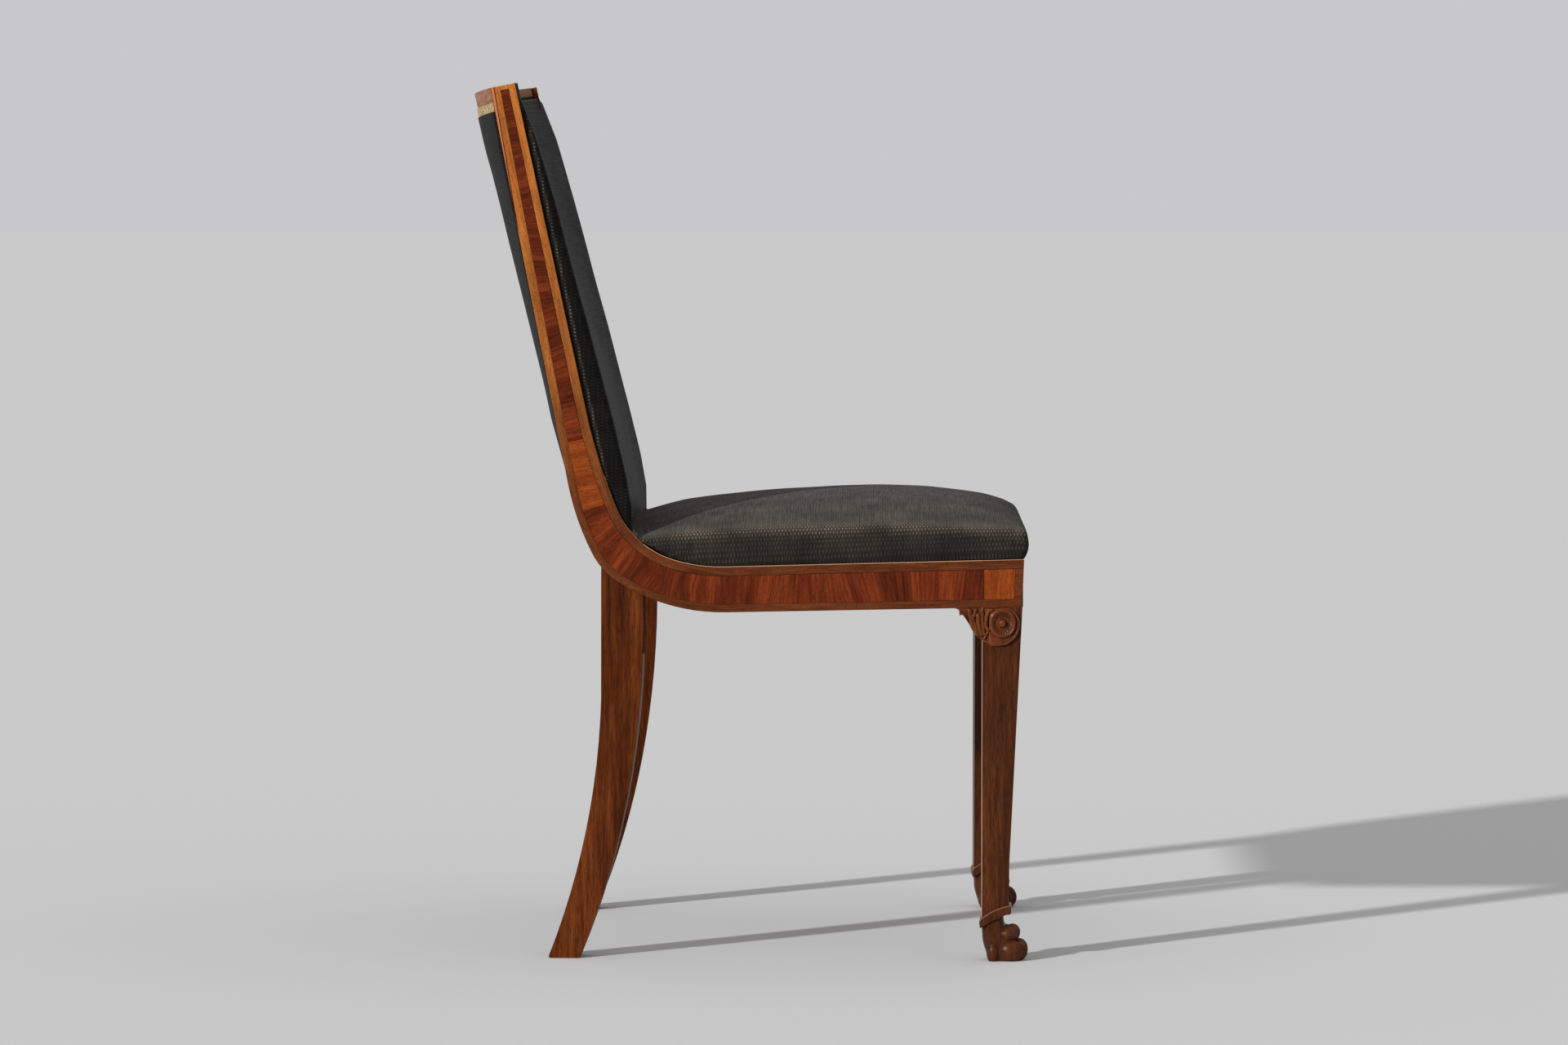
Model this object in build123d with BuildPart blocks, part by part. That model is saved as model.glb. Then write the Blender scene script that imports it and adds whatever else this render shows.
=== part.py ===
from build123d import *
from math import atan, cos, degrees, radians, sin, tan
import os

os.makedirs("parts", exist_ok=True)

# Driving sizes of the whole chair, in millimetres. Distances along the side frame run
# rearwards from the toe tips and heights run up from the floor.
toe_width = 478.0
crest_width = 432.0
stile_top_distance = 523.2
stile_top_height = 895.3
rail_top_height = 411.8
rail_underside_height = 363.0
rail_front_distance = 4.7
veneer = 1.0
glue_line = 0.1
seat_clearance = 0.3
overrun = 60.0

# Knee of the side frame: where the rail starts to bend up, and its three arcs from the
# rail to the stile, for the upper edge and for the lower edge.
upper_slope = 1.63
upper_bend_start = 310.2
upper_radii = (163.0, 92.0, 585.0)
upper_turns = (18.7, 50.6, 10.13)
lower_slope = 1.26
lower_bend_start = 308.9
lower_radii = (196.0, 72.0, 272.0)
lower_turns = (34.4, 29.7, 16.08)

# Posts, rails and legs.
post_thickness = 30.0
side_rail_thickness = 26.0
knee_joint_distance = 393.4
knee_joint_height = 392.0
rear_leg_recess = 1.0
rear_leg_depth = 42.9
rear_leg_straight_height = 290.0
rear_leg_sweep_radius = 786.0
rear_leg_calf = (400.8, 225.0)
rear_leg_shin = (421.3, 115.0)
rear_leg_toe_distance = 459.7
rear_leg_heel_chamfer = 2.0
front_leg_width = 38.0
front_leg_back_distance = 47.6
front_leg_knee_distance = 6.3
front_leg_ankle_distance = 19.2
front_leg_ankle_width = 30.0
front_leg_ankle_height = 98.0
front_rail_thickness = 24.0
rear_rail_distance = 395.0
rear_rail_thickness = 31.0
rear_tenon_length = 12.0
rear_rail_height = 30.0
tenon_thickness = 9.0
tenon_length = 18.0
tenon_shoulder = 8.0
rear_tenon_shoulder = 5.0
tenon_clearance = 0.15

# Bent back between the stiles, measured square to the stiles. Distances down the back
# start at the top of the stiles.
crest_height = 44.0
crest_tilt = 10.0
back_face = 4.0
back_bow_top = 28.0
back_bow_fall_share = 0.0375
back_rail_top_share = 0.8045
back_rail_height = 42.0
back_rail_thickness = 18.0
crest_tenon_height = 24.0
web_thickness = 1.5
canvas_thickness = 1.0
cloth_thickness = 2.0
tape_top = 14.5
tape_bottom = 23.5
tape_thickness = 0.9
gimp_top = 9.0
gimp_bottom = 11.7

# Inside back upholstery: places down the back as shares of the way from the stile tops to
# the rails, how far its edges stand in front of the stiles, and where its hollow middle lies.
inside_shares = (0.024, 0.121, 0.259, 0.536, 0.722, 0.871, 0.954)
inside_edges = (4.0, 8.0, 12.5, 18.0, 21.0, 21.0, 18.0)
inside_middles = (-23.0, -15.0, -6.0, 7.5, 14.0, 15.0, 12.0)
inside_side_margin = 3.0

# Outside back cover: places down the back, also as shares, its ends at the stiles and its bow.
outside_shares = (0.0485, 0.243, 0.465, 0.701, 0.869, 1.011, 1.055)
outside_ends = (27.6, 28.8, 30.6, 32.6, 29.5, 13.4, 16.8)
outside_bows = (27.3, 24.4, 19.6, 15.0, 10.0, 1.6, 0.8)
outside_thickness = 1.6

# Seat upholstery: heights over the rails and how far each outline is drawn in.
cushion_heights = (0.4, 14.0, 31.0, 46.0, 57.0, 64.0, 66.6)
cushion_insets = (3.0, 0.4, 1.6, 10.5, 32.0, 80.0, 140.0)
cushion_hollow_step = 2
cushion_front_distance = 0.9
cushion_side_margin = 0.6
cushion_rear_distance = 394.0
cushion_rear_bow = 18.0
cushion_corner_radius = 13.0
cushion_corner_growth_share = 0.2
webbing_width = 50.0
webbing_across_count = 4
webbing_along_count = 3
webbing_pitch = 90.0
webbing_lap = 8.7
webbing_rear_lap = 6.0

# Veneered side faces and front.
upper_band = 9.5
lower_band = 8.0
end_band = 8.3
corner_square_end = 45.5
top_border = 4.6
panel_top_height = 535.0
panel_bottom_height = 466.0
panel_bottom_turn = 4.0
front_square = 27.0

# Ankle collar and lion's paw.
collar_front_height = 57.5
collar_back_height = 43.3
collar_rise = 8.0
collar_overhang = 1.8
collar_back_overhang = 2.5
foot_dowel_radius = 6.0
foot_dowel_top = 76.0
paw_heights = (0.0, 9.0, 20.0, 35.0, 44.0, 62.0)
paw_fronts = (15.0, 14.0, 17.0, 25.5, 25.5, 22.0)
paw_backs = (39.7, 40.5, 43.8, 46.7, 47.4, 47.6)
paw_half_widths = (15.5, 17.0, 17.0, 15.0, 14.6, 14.6)
paw_corner_chamfer = 4.0
toe_spread = 5.4
side_toe_spread = 13.2
lobe_sides = 12
toe_rises = (0.0, 1.75, 2.25, 2.65)
toe_shares = (0.94, 1.0, 0.85, 0.45)
knuckle_rises = (-0.9, -0.5, 0.0, 0.5, 0.9)
knuckle_shares = (0.45, 0.88, 1.0, 0.88, 0.45)
toe_radius = 8.2
toe_reach = 8.2
knuckle_radius = 7.4
knuckle_reach = 16.2
knuckle_height = 31.2
side_toe_radius = 7.4
side_toe_reach = 15.0
side_knuckle_radius = 6.6
side_knuckle_reach = 20.5
side_knuckle_height = 26.6
heel_toe_radius = 6.4
heel_toe_reach = 33.0

# Scroll bracket, acanthus leaf and rosette.
scroll_depth = 22.0
scroll_relief = 3.4
scroll_rib = 1.1
scroll_rib_width = 1.4
scroll_reach = 73.8
scroll_tip_height = 329.2
rosette_distance = 26.4
rosette_height = 346.2
rosette_radius = 14.2
rosette_thickness = 3.2
rosette_shares = (
    (0.0, 0.0),
    (1.0, 0.0),
    (1.0, 0.6),
    (0.95, 1.0),
    (0.88, 0.7),
    (0.34, 0.45),
    (0.3, 0.8),
    (0.18, 1.0),
    (0.0, 1.0),
)
leaf_ribs = 5

scroll_shares = ((1.51, -1.2), (0.32, -1.606), (-0.79, -1.22), (-1.2, -0.12), (-0.31, 1.13))
leaf_shares = ((1.0, 0.0), (0.84, -0.23), (0.37, -0.66), (0.0, -1.0))
rib_root_radius = 1.0
rib_tip_radius = 2.5

# Glue blocks in the corners of the seat frame.
block_height = 30.0
block_leg = 42.0

# Placing frame: the chair's side frames splay out towards the front, and the origin is
# on the floor under the middle of the whole chair.
splay = degrees(atan((toe_width - crest_width) / (stile_top_distance + stile_top_distance)))
stile_lean = 90.0 + upper_slope - sum(upper_turns)
stile_back_lean = 90.0 + lower_slope - sum(lower_turns)


def floor_point(distance, inboard):
    """Place on the floor plan of a point on the left side frame, from the toe line at the middle."""
    across = toe_width / 2 - distance * sin(radians(splay)) - inboard * cos(radians(splay))
    back = distance * cos(radians(splay)) - inboard * sin(radians(splay))
    return across, back


def frame_distance(back, inboard):
    """Distance along the side frame of a place measured straight back from the toe line."""
    return (back + inboard * sin(radians(splay))) / cos(radians(splay))


def edge_end(height, slope, bend_start, radii, turns):
    """Where a long edge of the side frame leaves its last arc, as distance and height."""
    heading = -radians(slope)
    distance = bend_start
    level = height - bend_start * tan(radians(slope))
    for radius, turn in zip(radii, turns):
        distance += radius * (sin(heading + radians(turn)) - sin(heading))
        level += radius * (cos(heading) - cos(heading + radians(turn)))
        heading += radians(turn)
    return distance, level


upper_end = edge_end(rail_top_height, upper_slope, upper_bend_start, upper_radii, upper_turns)
lower_end = edge_end(rail_underside_height, lower_slope, lower_bend_start, lower_radii, lower_turns)


def stile_front(height):
    """Distance of the stile's straight front edge at a height."""
    return upper_end[0] + (height - upper_end[1]) * tan(radians(stile_lean))


def stile_back(height):
    """Distance of the stile's straight back edge at a height."""
    return lower_end[0] + (height - lower_end[1]) * tan(radians(stile_back_lean))


def rail_underside(distance):
    """Height of the straight part of the side rail's underside."""
    return rail_underside_height - distance * tan(radians(lower_slope))


crest_distance = stile_front(stile_top_height)
back_length = (stile_top_height - rail_top_height) / cos(radians(stile_lean))
inside_stations = [back_length * share for share in inside_shares]
outside_stations = [back_length * share for share in outside_shares]
back_rail_top = back_length * back_rail_top_share
back_rail_bottom = back_rail_top + back_rail_height
crest_back = floor_point(crest_distance, 0)[1]
crest_depth = (stile_back(stile_top_height) - crest_distance) * cos(radians(stile_lean)) + back_bow_top
crest_reach = crest_depth * cos(radians(crest_tilt)) / cos(radians(stile_lean - crest_tilt))
toe_lead = (front_leg_ankle_width / 2 + toe_spread) * sin(radians(splay))
toe_line = -(crest_back + crest_reach - toe_lead) / 2

side_plane = Plane(
    origin=(toe_width / 2, toe_line, 0),
    x_dir=(-sin(radians(splay)), cos(radians(splay)), 0),
    z_dir=(cos(radians(splay)), sin(radians(splay)), 0),
)
seat_plane = Plane(
    origin=(0, toe_line, rail_top_height),
    x_dir=(1, 0, 0),
    z_dir=(0, sin(radians(upper_slope)), cos(radians(upper_slope))),
)


def level_plane(height):
    """Horizontal plane over the left side frame: local x runs outwards, local y rearwards."""
    return Plane(origin=side_plane.origin + Vector(0, 0, height), x_dir=side_plane.z_dir, z_dir=(0, 0, 1))


def cross_plane(distance, height, tilt=0.0, inboard=0.0):
    """Plane square to the side frame, facing rearwards and turned up by a tilt."""
    facing = side_plane.x_dir * cos(radians(tilt)) + side_plane.y_dir * sin(radians(tilt))
    place = side_plane.from_local_coords((distance, height, -inboard))
    return Plane(origin=place, x_dir=side_plane.z_dir, z_dir=facing)


def back_plane(drop):
    """Plane square to the stiles, a distance down the back, at the front of the stiles."""
    rise = radians(stile_lean)
    origin = (0, toe_line + crest_back - drop * sin(rise), stile_top_height - drop * cos(rise))
    return Plane(origin=origin, x_dir=(1, 0, 0), z_dir=(0, sin(rise), cos(rise)))


def stile_depth(drop):
    """Depth of the stile square to its front edge, a distance down the back."""
    height = stile_top_height - drop * cos(radians(stile_lean))
    return (stile_back(height) - stile_front(height)) * cos(radians(stile_lean))


def back_half(drop, inboard):
    """Half the width between the side frames' faces, a distance down the back."""
    return floor_point(crest_distance - drop * sin(radians(stile_lean)), inboard)[0]


def back_bow(drop):
    """How far the middle of the bent back lies behind its ends."""
    return back_bow_top - drop * back_bow_fall_share


def long_edge(height, slope, bend_start, radii, turns, shift):
    """Draw one long edge of the side frame, shifted down into or out of the wood."""
    heading = (cos(radians(slope)), -sin(radians(slope)))
    drop = shift / cos(radians(slope))
    reach = rail_front_distance - overrun
    start = (reach, height - drop - reach * tan(radians(slope)))
    bend = (
        bend_start - shift * sin(radians(slope)),
        height - bend_start * tan(radians(slope)) - shift * cos(radians(slope)),
    )
    Line(start, bend)
    arc = JernArc(bend, heading, radii[0] + shift, turns[0])
    for radius, turn in zip(radii[1:], turns[1:]):
        arc = JernArc(arc @ 1, arc % 1, radius + shift, turn)
    stile = Line(arc @ 1, arc @ 1 + (arc % 1) * (stile_top_height + overrun - (arc @ 1).Y))
    return Vector(*start), stile @ 1


def upper_edge(shift):
    """Draw the upper long edge of the side frame, moved into the wood by a shift."""
    return long_edge(rail_top_height, upper_slope, upper_bend_start, upper_radii, upper_turns, shift)


def lower_edge(shift):
    """Draw the lower long edge of the side frame, moved into the wood by a shift."""
    return long_edge(rail_underside_height, lower_slope, lower_bend_start, lower_radii, lower_turns, -shift)


def edge_band(plane, first_edge, first_shift, second_edge, second_shift):
    """Face on a plane between two long edges, each moved into the wood by its shift."""
    with BuildSketch(plane) as band:
        with BuildLine():
            first = first_edge(first_shift)
            second = second_edge(second_shift)
            Line(first[0], second[0])
            Line(first[1], second[1])
        make_face()
    return band.sketch


def frame_band(plane, shift):
    """Face of the whole side frame on a plane, drawn in all round by a shift."""
    return edge_band(plane, upper_edge, shift, lower_edge, shift)


stile_top_cut = cross_plane(crest_distance, stile_top_height, 90.0 - stile_lean)
top_border_cut = cross_plane(
    crest_distance - top_border * sin(radians(stile_lean)),
    stile_top_height - top_border * cos(radians(stile_lean)),
    90.0 - stile_lean,
)
panel_top_cut = cross_plane(stile_front(panel_top_height), panel_top_height, 90.0 - stile_lean)
panel_bottom_cut = cross_plane(
    stile_front(panel_bottom_height), panel_bottom_height, 90.0 - stile_lean - panel_bottom_turn
)
knee_cut = cross_plane(knee_joint_distance, rail_top_height)
square_cut = cross_plane(corner_square_end, rail_top_height)
end_band_cut = cross_plane(rail_front_distance + end_band, rail_top_height)
front_cut = cross_plane(rail_front_distance, rail_top_height)
post_back_cut = cross_plane(front_leg_back_distance, rail_top_height)
front_face = Plane(
    origin=(0, toe_line + rail_front_distance + veneer, 0),
    x_dir=(1, 0, 0),
    z_dir=(0, -1, 0),
)
post_inner_face = side_plane.offset(-veneer - post_thickness)
leg_inner_face = side_plane.offset(-front_leg_width)


def tenon(plane, centre, width, height, depth, gap=0.0, mode=Mode.ADD):
    """Rectangular tenon standing on a plane, or its mortise when given a gap."""
    with BuildSketch(plane) as foot:
        with Locations(centre):
            Rectangle(width + 2 * abs(gap), height + 2 * abs(gap))
    extrude(foot.sketch, amount=depth + gap, mode=mode)


def export_pair(part, name):
    """Write a left piece and its mirror image for the right side of the chair."""
    left = part
    right = mirror(part, about=Plane.YZ)
    left.label = name + "_left"
    right.label = name + "_right"
    export_step(left, "parts/" + name + "_left.step")
    export_step(right, "parts/" + name + "_right.step")


# Places of the joints, shared by tenons and mortises. The side rail's tenons lie in the
# middle of its thickness, and those of the cross rails in the middle of theirs.
side_tenon_inboard = veneer + side_rail_thickness / 2
rail_middle_height = (rail_top_height + rail_underside_height) / 2
side_tenon_height = rail_top_height - rail_underside_height - 2 * tenon_shoulder
front_tenon_plane = cross_plane(front_leg_back_distance, rail_middle_height, 0, side_tenon_inboard)
knee_tenon_plane = cross_plane(knee_joint_distance, knee_joint_height, 0, side_tenon_inboard)
front_rail_middle = rail_front_distance + veneer + front_rail_thickness / 2
front_rail_centre = (frame_distance(front_rail_middle, front_leg_width), rail_middle_height)
rear_rail_top = rail_top_height - rear_rail_distance * tan(radians(upper_slope))
rear_rail_middle = rear_rail_distance + rear_rail_thickness / 2
rear_rail_centre = (
    frame_distance(rear_rail_middle, veneer + post_thickness),
    rear_rail_top - rear_rail_height / 2,
)
rear_tenon_height = rear_rail_height - 2 * rear_tenon_shoulder


def crest_tenon_centre(drop, depth):
    """Distance and height on the side plane of a point in the stile, from the back's measures."""
    rise = radians(stile_lean)
    distance = crest_distance - drop * sin(rise) + depth * cos(rise)
    return distance, stile_top_height - drop * cos(rise) - depth * sin(rise)


crest_tenon_place = crest_tenon_centre(crest_height / 2, (back_face + stile_depth(crest_height / 2)) / 2)
back_rail_middle = (back_rail_top + back_rail_bottom) / 2
back_tenon_place = crest_tenon_centre(back_rail_middle, back_face + back_rail_thickness / 2)
back_tenon_height = back_rail_height - 2 * tenon_shoulder


def leaning_tenon(place, height, depth, gap=0.0, mode=Mode.ADD):
    """Tenon on the stile's inner face, turned to lean with the stile."""
    with BuildSketch(post_inner_face) as foot:
        with Locations(Location((place[0], place[1], 0), (0, 0, -stile_lean))):
            Rectangle(tenon_thickness + 2 * gap, height + 2 * gap)
    extrude(foot.sketch, amount=depth + gap, mode=mode)


# Rear post: stile, knee and sabre leg in one piece.
rear_leg_back = knee_joint_distance + rear_leg_depth
rear_leg_outer = veneer + rear_leg_recess
rear_leg_sweep = degrees(
    atan(rear_leg_straight_height / (rear_leg_sweep_radius**2 - rear_leg_straight_height**2) ** 0.5)
)
leg_head_height = rail_underside_height + tenon_shoulder
with BuildPart() as rear_post:
    extrude(frame_band(side_plane.offset(-veneer), 0), amount=-post_thickness)
    split(bisect_by=stile_top_cut, keep=Keep.BOTTOM)
    split(bisect_by=knee_cut, keep=Keep.TOP)
    with BuildSketch(side_plane.offset(-rear_leg_outer)):
        with BuildLine():
            head = Polyline(
                (rear_leg_back, rear_leg_straight_height),
                (rear_leg_back, rail_top_height),
                (knee_joint_distance + rear_leg_depth / 2, rail_top_height),
                (knee_joint_distance, leg_head_height),
                (knee_joint_distance, rail_underside_height),
            )
            shin = Spline(head @ 1, rear_leg_calf, rear_leg_shin, (rear_leg_toe_distance, 0))
            calf = JernArc(head @ 0, (0, -1), rear_leg_sweep_radius, rear_leg_sweep)
            Line(shin @ 1, calf @ 1)
        make_face()
    extrude(amount=rear_leg_outer - veneer - post_thickness)
    heel = rear_post.edges().group_by(Axis.Z)[0].sort_by(Axis.Y)[-1]
    chamfer(heel, rear_leg_heel_chamfer)
    knee_mortise = (tenon_thickness, side_tenon_height)
    tenon(knee_tenon_plane, (0, 0), *knee_mortise, tenon_length, tenon_clearance, Mode.SUBTRACT)
    rear_mortise = (tenon_thickness, rear_tenon_height)
    rear_fit = (rear_tenon_length, tenon_clearance, Mode.SUBTRACT)
    tenon(post_inner_face, rear_rail_centre, *rear_mortise, *rear_fit)
    leaning_tenon(crest_tenon_place, crest_tenon_height, tenon_length, tenon_clearance, Mode.SUBTRACT)
    leaning_tenon(back_tenon_place, back_tenon_height, tenon_length, tenon_clearance, Mode.SUBTRACT)
export_pair(rear_post.part, "rear_post")

# Side rail: from the rear face of the front post round the foot of the knee.
with BuildPart() as side_rail:
    extrude(frame_band(side_plane.offset(-veneer), 0), amount=-side_rail_thickness)
    split(bisect_by=knee_cut, keep=Keep.BOTTOM)
    split(bisect_by=post_back_cut, keep=Keep.TOP)
    tenon(knee_tenon_plane, (0, 0), tenon_thickness, side_tenon_height, tenon_length)
    tenon(front_tenon_plane, (0, 0), tenon_thickness, side_tenon_height, -tenon_length)
export_pair(side_rail.part, "side_rail")

# Front leg: square head in the seat frame, tapered shaft, cut to the slope of the collar.
collar_front = front_leg_ankle_distance - collar_overhang
collar_back = front_leg_back_distance + collar_back_overhang
collar_slope = degrees(atan((collar_front_height - collar_back_height) / (collar_back - collar_front)))
collar_top_cut = cross_plane(collar_front, collar_front_height, 90.0 - collar_slope)
collar_foot_cut = cross_plane(collar_front, collar_front_height - collar_rise, 90.0 - collar_slope)
foot_centre = (-front_leg_ankle_width / 2, (front_leg_ankle_distance + front_leg_back_distance) / 2)
front_foot_height = rail_underside(rail_front_distance)


def leg_section(height, width, front):
    """Section of a front leg, with its front face parallel to the front rail."""
    inner_front = front + width * tan(radians(splay))
    with BuildSketch(level_plane(height)) as section:
        Polygon(
            (0, front),
            (0, front_leg_back_distance),
            (-width, front_leg_back_distance),
            (-width, inner_front),
            align=None,
        )
    return section.sketch


with BuildPart() as front_leg:
    knee_section = leg_section(rail_underside_height, front_leg_width, front_leg_knee_distance)
    ankle_section = leg_section(front_leg_ankle_height, front_leg_ankle_width, front_leg_ankle_distance)
    loft([knee_section, ankle_section], ruled=True)
    extrude(ankle_section, amount=-front_leg_ankle_height)
    extrude(leg_section(rail_underside_height, front_leg_width, rail_front_distance), amount=overrun)
    split(bisect_by=seat_plane, keep=Keep.BOTTOM)
    split(bisect_by=collar_top_cut, keep=Keep.TOP)
    extrude(frame_band(side_plane.offset(-veneer), 0), amount=overrun, mode=Mode.SUBTRACT)
    with BuildSketch(front_face):
        with Locations((0, front_foot_height)):
            Rectangle(toe_width, overrun, align=(Align.CENTER, Align.MIN))
    extrude(amount=overrun, mode=Mode.SUBTRACT)
    tenon(
        front_tenon_plane,
        (0, 0),
        tenon_thickness,
        side_tenon_height,
        -tenon_length,
        -tenon_clearance,
        Mode.SUBTRACT,
    )
    tenon(
        leg_inner_face,
        front_rail_centre,
        tenon_thickness,
        side_tenon_height,
        tenon_length,
        tenon_clearance,
        Mode.SUBTRACT,
    )
    with BuildSketch(level_plane(0)):
        with Locations(foot_centre):
            Circle(foot_dowel_radius + tenon_clearance)
    extrude(amount=foot_dowel_top + tenon_clearance, mode=Mode.SUBTRACT)
export_pair(front_leg.part, "front_leg")

# Ankle collar: a sloping band between the tapered leg and the paw, with the hole that
# the paw's dowel passes through.
with BuildPart() as ankle_collar:
    with BuildSketch(level_plane(0)):
        with Locations((foot_centre[0], (collar_front + collar_back) / 2)):
            Rectangle(front_leg_ankle_width + 2 * collar_overhang, collar_back - collar_front)
    extrude(amount=foot_dowel_top)
    split(bisect_by=collar_top_cut, keep=Keep.BOTTOM)
    split(bisect_by=collar_foot_cut, keep=Keep.TOP)
    with BuildSketch(level_plane(0)):
        with Locations(foot_centre):
            Circle(foot_dowel_radius + tenon_clearance)
    extrude(amount=foot_dowel_top, mode=Mode.SUBTRACT)
export_pair(ankle_collar.part, "ankle_collar")

# Lion's paw: a heel and ankle that swell to the floor, four knuckled toes and a lobe on
# each side of the heel, with the dowel that holds the foot to the leg. The lobes are cut
# with plain facets, as a carver roughs them out.
def lobe(across, reach, foot, radius, rises, shares):
    """Many-sided lobe: sections at rises over its foot, each a share of its radius."""
    sections = []
    for rise, share in zip(rises, shares):
        with BuildSketch(level_plane(foot + radius * rise)) as section:
            with Locations((across, reach)):
                RegularPolygon(radius * share, lobe_sides)
        sections.append(section.sketch)
    loft(sections, ruled=True)


with BuildPart() as paw_foot:
    for height, front, back, half in zip(paw_heights, paw_fronts, paw_backs, paw_half_widths):
        with BuildSketch(level_plane(height)) as section:
            with Locations((foot_centre[0], (front + back) / 2)):
                Rectangle(2 * half, back - front)
            chamfer(section.vertices(), paw_corner_chamfer)
    loft(ruled=True)
    for side in (-1, 1):
        middle = foot_centre[0] + side * toe_spread
        aside = foot_centre[0] + side * side_toe_spread
        lobe(middle, toe_reach, 0, toe_radius, toe_rises, toe_shares)
        lobe(aside, side_toe_reach, 0, side_toe_radius, toe_rises, toe_shares)
        lobe(aside, heel_toe_reach, 0, heel_toe_radius, toe_rises, toe_shares)
        lobe(middle, knuckle_reach, knuckle_height, knuckle_radius, knuckle_rises, knuckle_shares)
        side_knuckle = (side_knuckle_reach, side_knuckle_height, side_knuckle_radius)
        lobe(aside, *side_knuckle, knuckle_rises, knuckle_shares)
    split(bisect_by=collar_foot_cut, keep=Keep.BOTTOM)
    with BuildSketch(level_plane(foot_dowel_radius)):
        with Locations(foot_centre):
            Circle(foot_dowel_radius)
    extrude(amount=foot_dowel_top - foot_dowel_radius)
export_pair(paw_foot.part, "paw_foot")


def left_half(gap):
    """Trim the open part to the left half between the side frames, a gap short of the post."""
    split(bisect_by=post_inner_face.offset(-gap), keep=Keep.BOTTOM)
    split(bisect_by=Plane.YZ, keep=Keep.TOP)


# Front rail, cut to the slope of the seat and tenoned into both front legs.
with BuildPart() as front_rail:
    with BuildSketch(front_face):
        with Locations((0, front_foot_height)):
            Rectangle(toe_width / 2, overrun, align=Align.MIN)
    extrude(amount=-front_rail_thickness)
    split(bisect_by=seat_plane, keep=Keep.BOTTOM)
    split(bisect_by=leg_inner_face, keep=Keep.BOTTOM)
    tenon(leg_inner_face, front_rail_centre, tenon_thickness, side_tenon_height, tenon_length)
    mirror(about=Plane.YZ)
front_rail.part.label = "front_rail"
export_step(front_rail.part, "parts/front_rail.step")

# Rear seat rail between the knees.
with BuildPart() as rear_rail:
    with BuildSketch(Plane.XY.offset(rear_rail_top - rear_rail_height)):
        with Locations((0, toe_line + rear_rail_distance)):
            Rectangle(toe_width / 2, rear_rail_thickness, align=Align.MIN)
    extrude(amount=rear_rail_height + overrun)
    split(bisect_by=seat_plane, keep=Keep.BOTTOM)
    left_half(0)
    tenon(post_inner_face, rear_rail_centre, tenon_thickness, rear_tenon_height, rear_tenon_length)
    mirror(about=Plane.YZ)
rear_rail.part.label = "rear_rail"
export_step(rear_rail.part, "parts/rear_rail.step")


def bowed_band(drop, front, back, bow):
    """Section of the bent back at a distance down it, from a front face to a back face at the posts."""
    half = back_half(drop, 0)
    spread = 1 - (half / back_half(drop, veneer + post_thickness)) ** 2
    with BuildSketch(back_plane(drop)) as band:
        with BuildLine():
            front_end = front + bow * spread
            back_end = back + bow * spread
            fore = ThreePointArc((-half, front_end), (0, front + bow), (half, front_end))
            aft = ThreePointArc((-half, back_end), (0, back + bow), (half, back_end))
            Line(fore @ 0, aft @ 0)
            Line(fore @ 1, aft @ 1)
        make_face()
    return band.sketch


# Crest rail: bent in plan, leaning with the stiles, its top falling to the rear.
crest_top_cut = Plane(
    origin=back_plane(0).origin,
    x_dir=(1, 0, 0),
    z_dir=(0, sin(radians(crest_tilt)), cos(radians(crest_tilt))),
)
with BuildPart() as crest_rail:
    crest_drops = (-back_bow_top, crest_height)
    crest_sections = [bowed_band(drop, back_face, stile_depth(drop), back_bow(drop)) for drop in crest_drops]
    loft(crest_sections, ruled=True)
    split(bisect_by=crest_top_cut, keep=Keep.BOTTOM)
    left_half(0)
    leaning_tenon(crest_tenon_place, crest_tenon_height, tenon_length)
    mirror(about=Plane.YZ)
crest_rail.part.label = "crest_rail"
export_step(crest_rail.part, "parts/crest_rail.step")

# Lower back rail, hidden in the upholstery, bent like the crest rail.
with BuildPart() as back_rail:
    back_rail_back = back_face + back_rail_thickness
    back_rail_drops = (back_rail_top, back_rail_bottom)
    rail_sections = [bowed_band(drop, back_face, back_rail_back, back_bow(drop)) for drop in back_rail_drops]
    loft(rail_sections, ruled=True)
    left_half(0)
    leaning_tenon(back_tenon_place, back_tenon_height, tenon_length)
    mirror(about=Plane.YZ)
back_rail.part.label = "back_rail"
export_step(back_rail.part, "parts/back_rail.step")

# Solids that stand for the posts and rails, a clearance larger, which the upholstery is cut to.
with BuildPart() as frame_clearance:
    clearance_depth = overrun + veneer + post_thickness + seat_clearance
    extrude(frame_band(side_plane.offset(overrun), -seat_clearance), amount=-clearance_depth)
    mirror(about=Plane.YZ)

# Veneers of the side faces: bands along both long edges, and between them a dark
# crossband with lighter panels at the knee and over the front leg.
with BuildPart() as upper_veneer:
    extrude(edge_band(side_plane.offset(-veneer), upper_edge, 0, upper_edge, upper_band), amount=veneer)
    split(bisect_by=stile_top_cut, keep=Keep.BOTTOM)
    split(bisect_by=front_cut, keep=Keep.TOP)
export_pair(upper_veneer.part, "upper_edge_veneer")

with BuildPart() as lower_veneer:
    extrude(edge_band(side_plane.offset(-veneer), lower_edge, 0, lower_edge, lower_band), amount=veneer)
    split(bisect_by=stile_top_cut, keep=Keep.BOTTOM)
    split(bisect_by=front_cut, keep=Keep.TOP)
export_pair(lower_veneer.part, "lower_edge_veneer")

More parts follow.
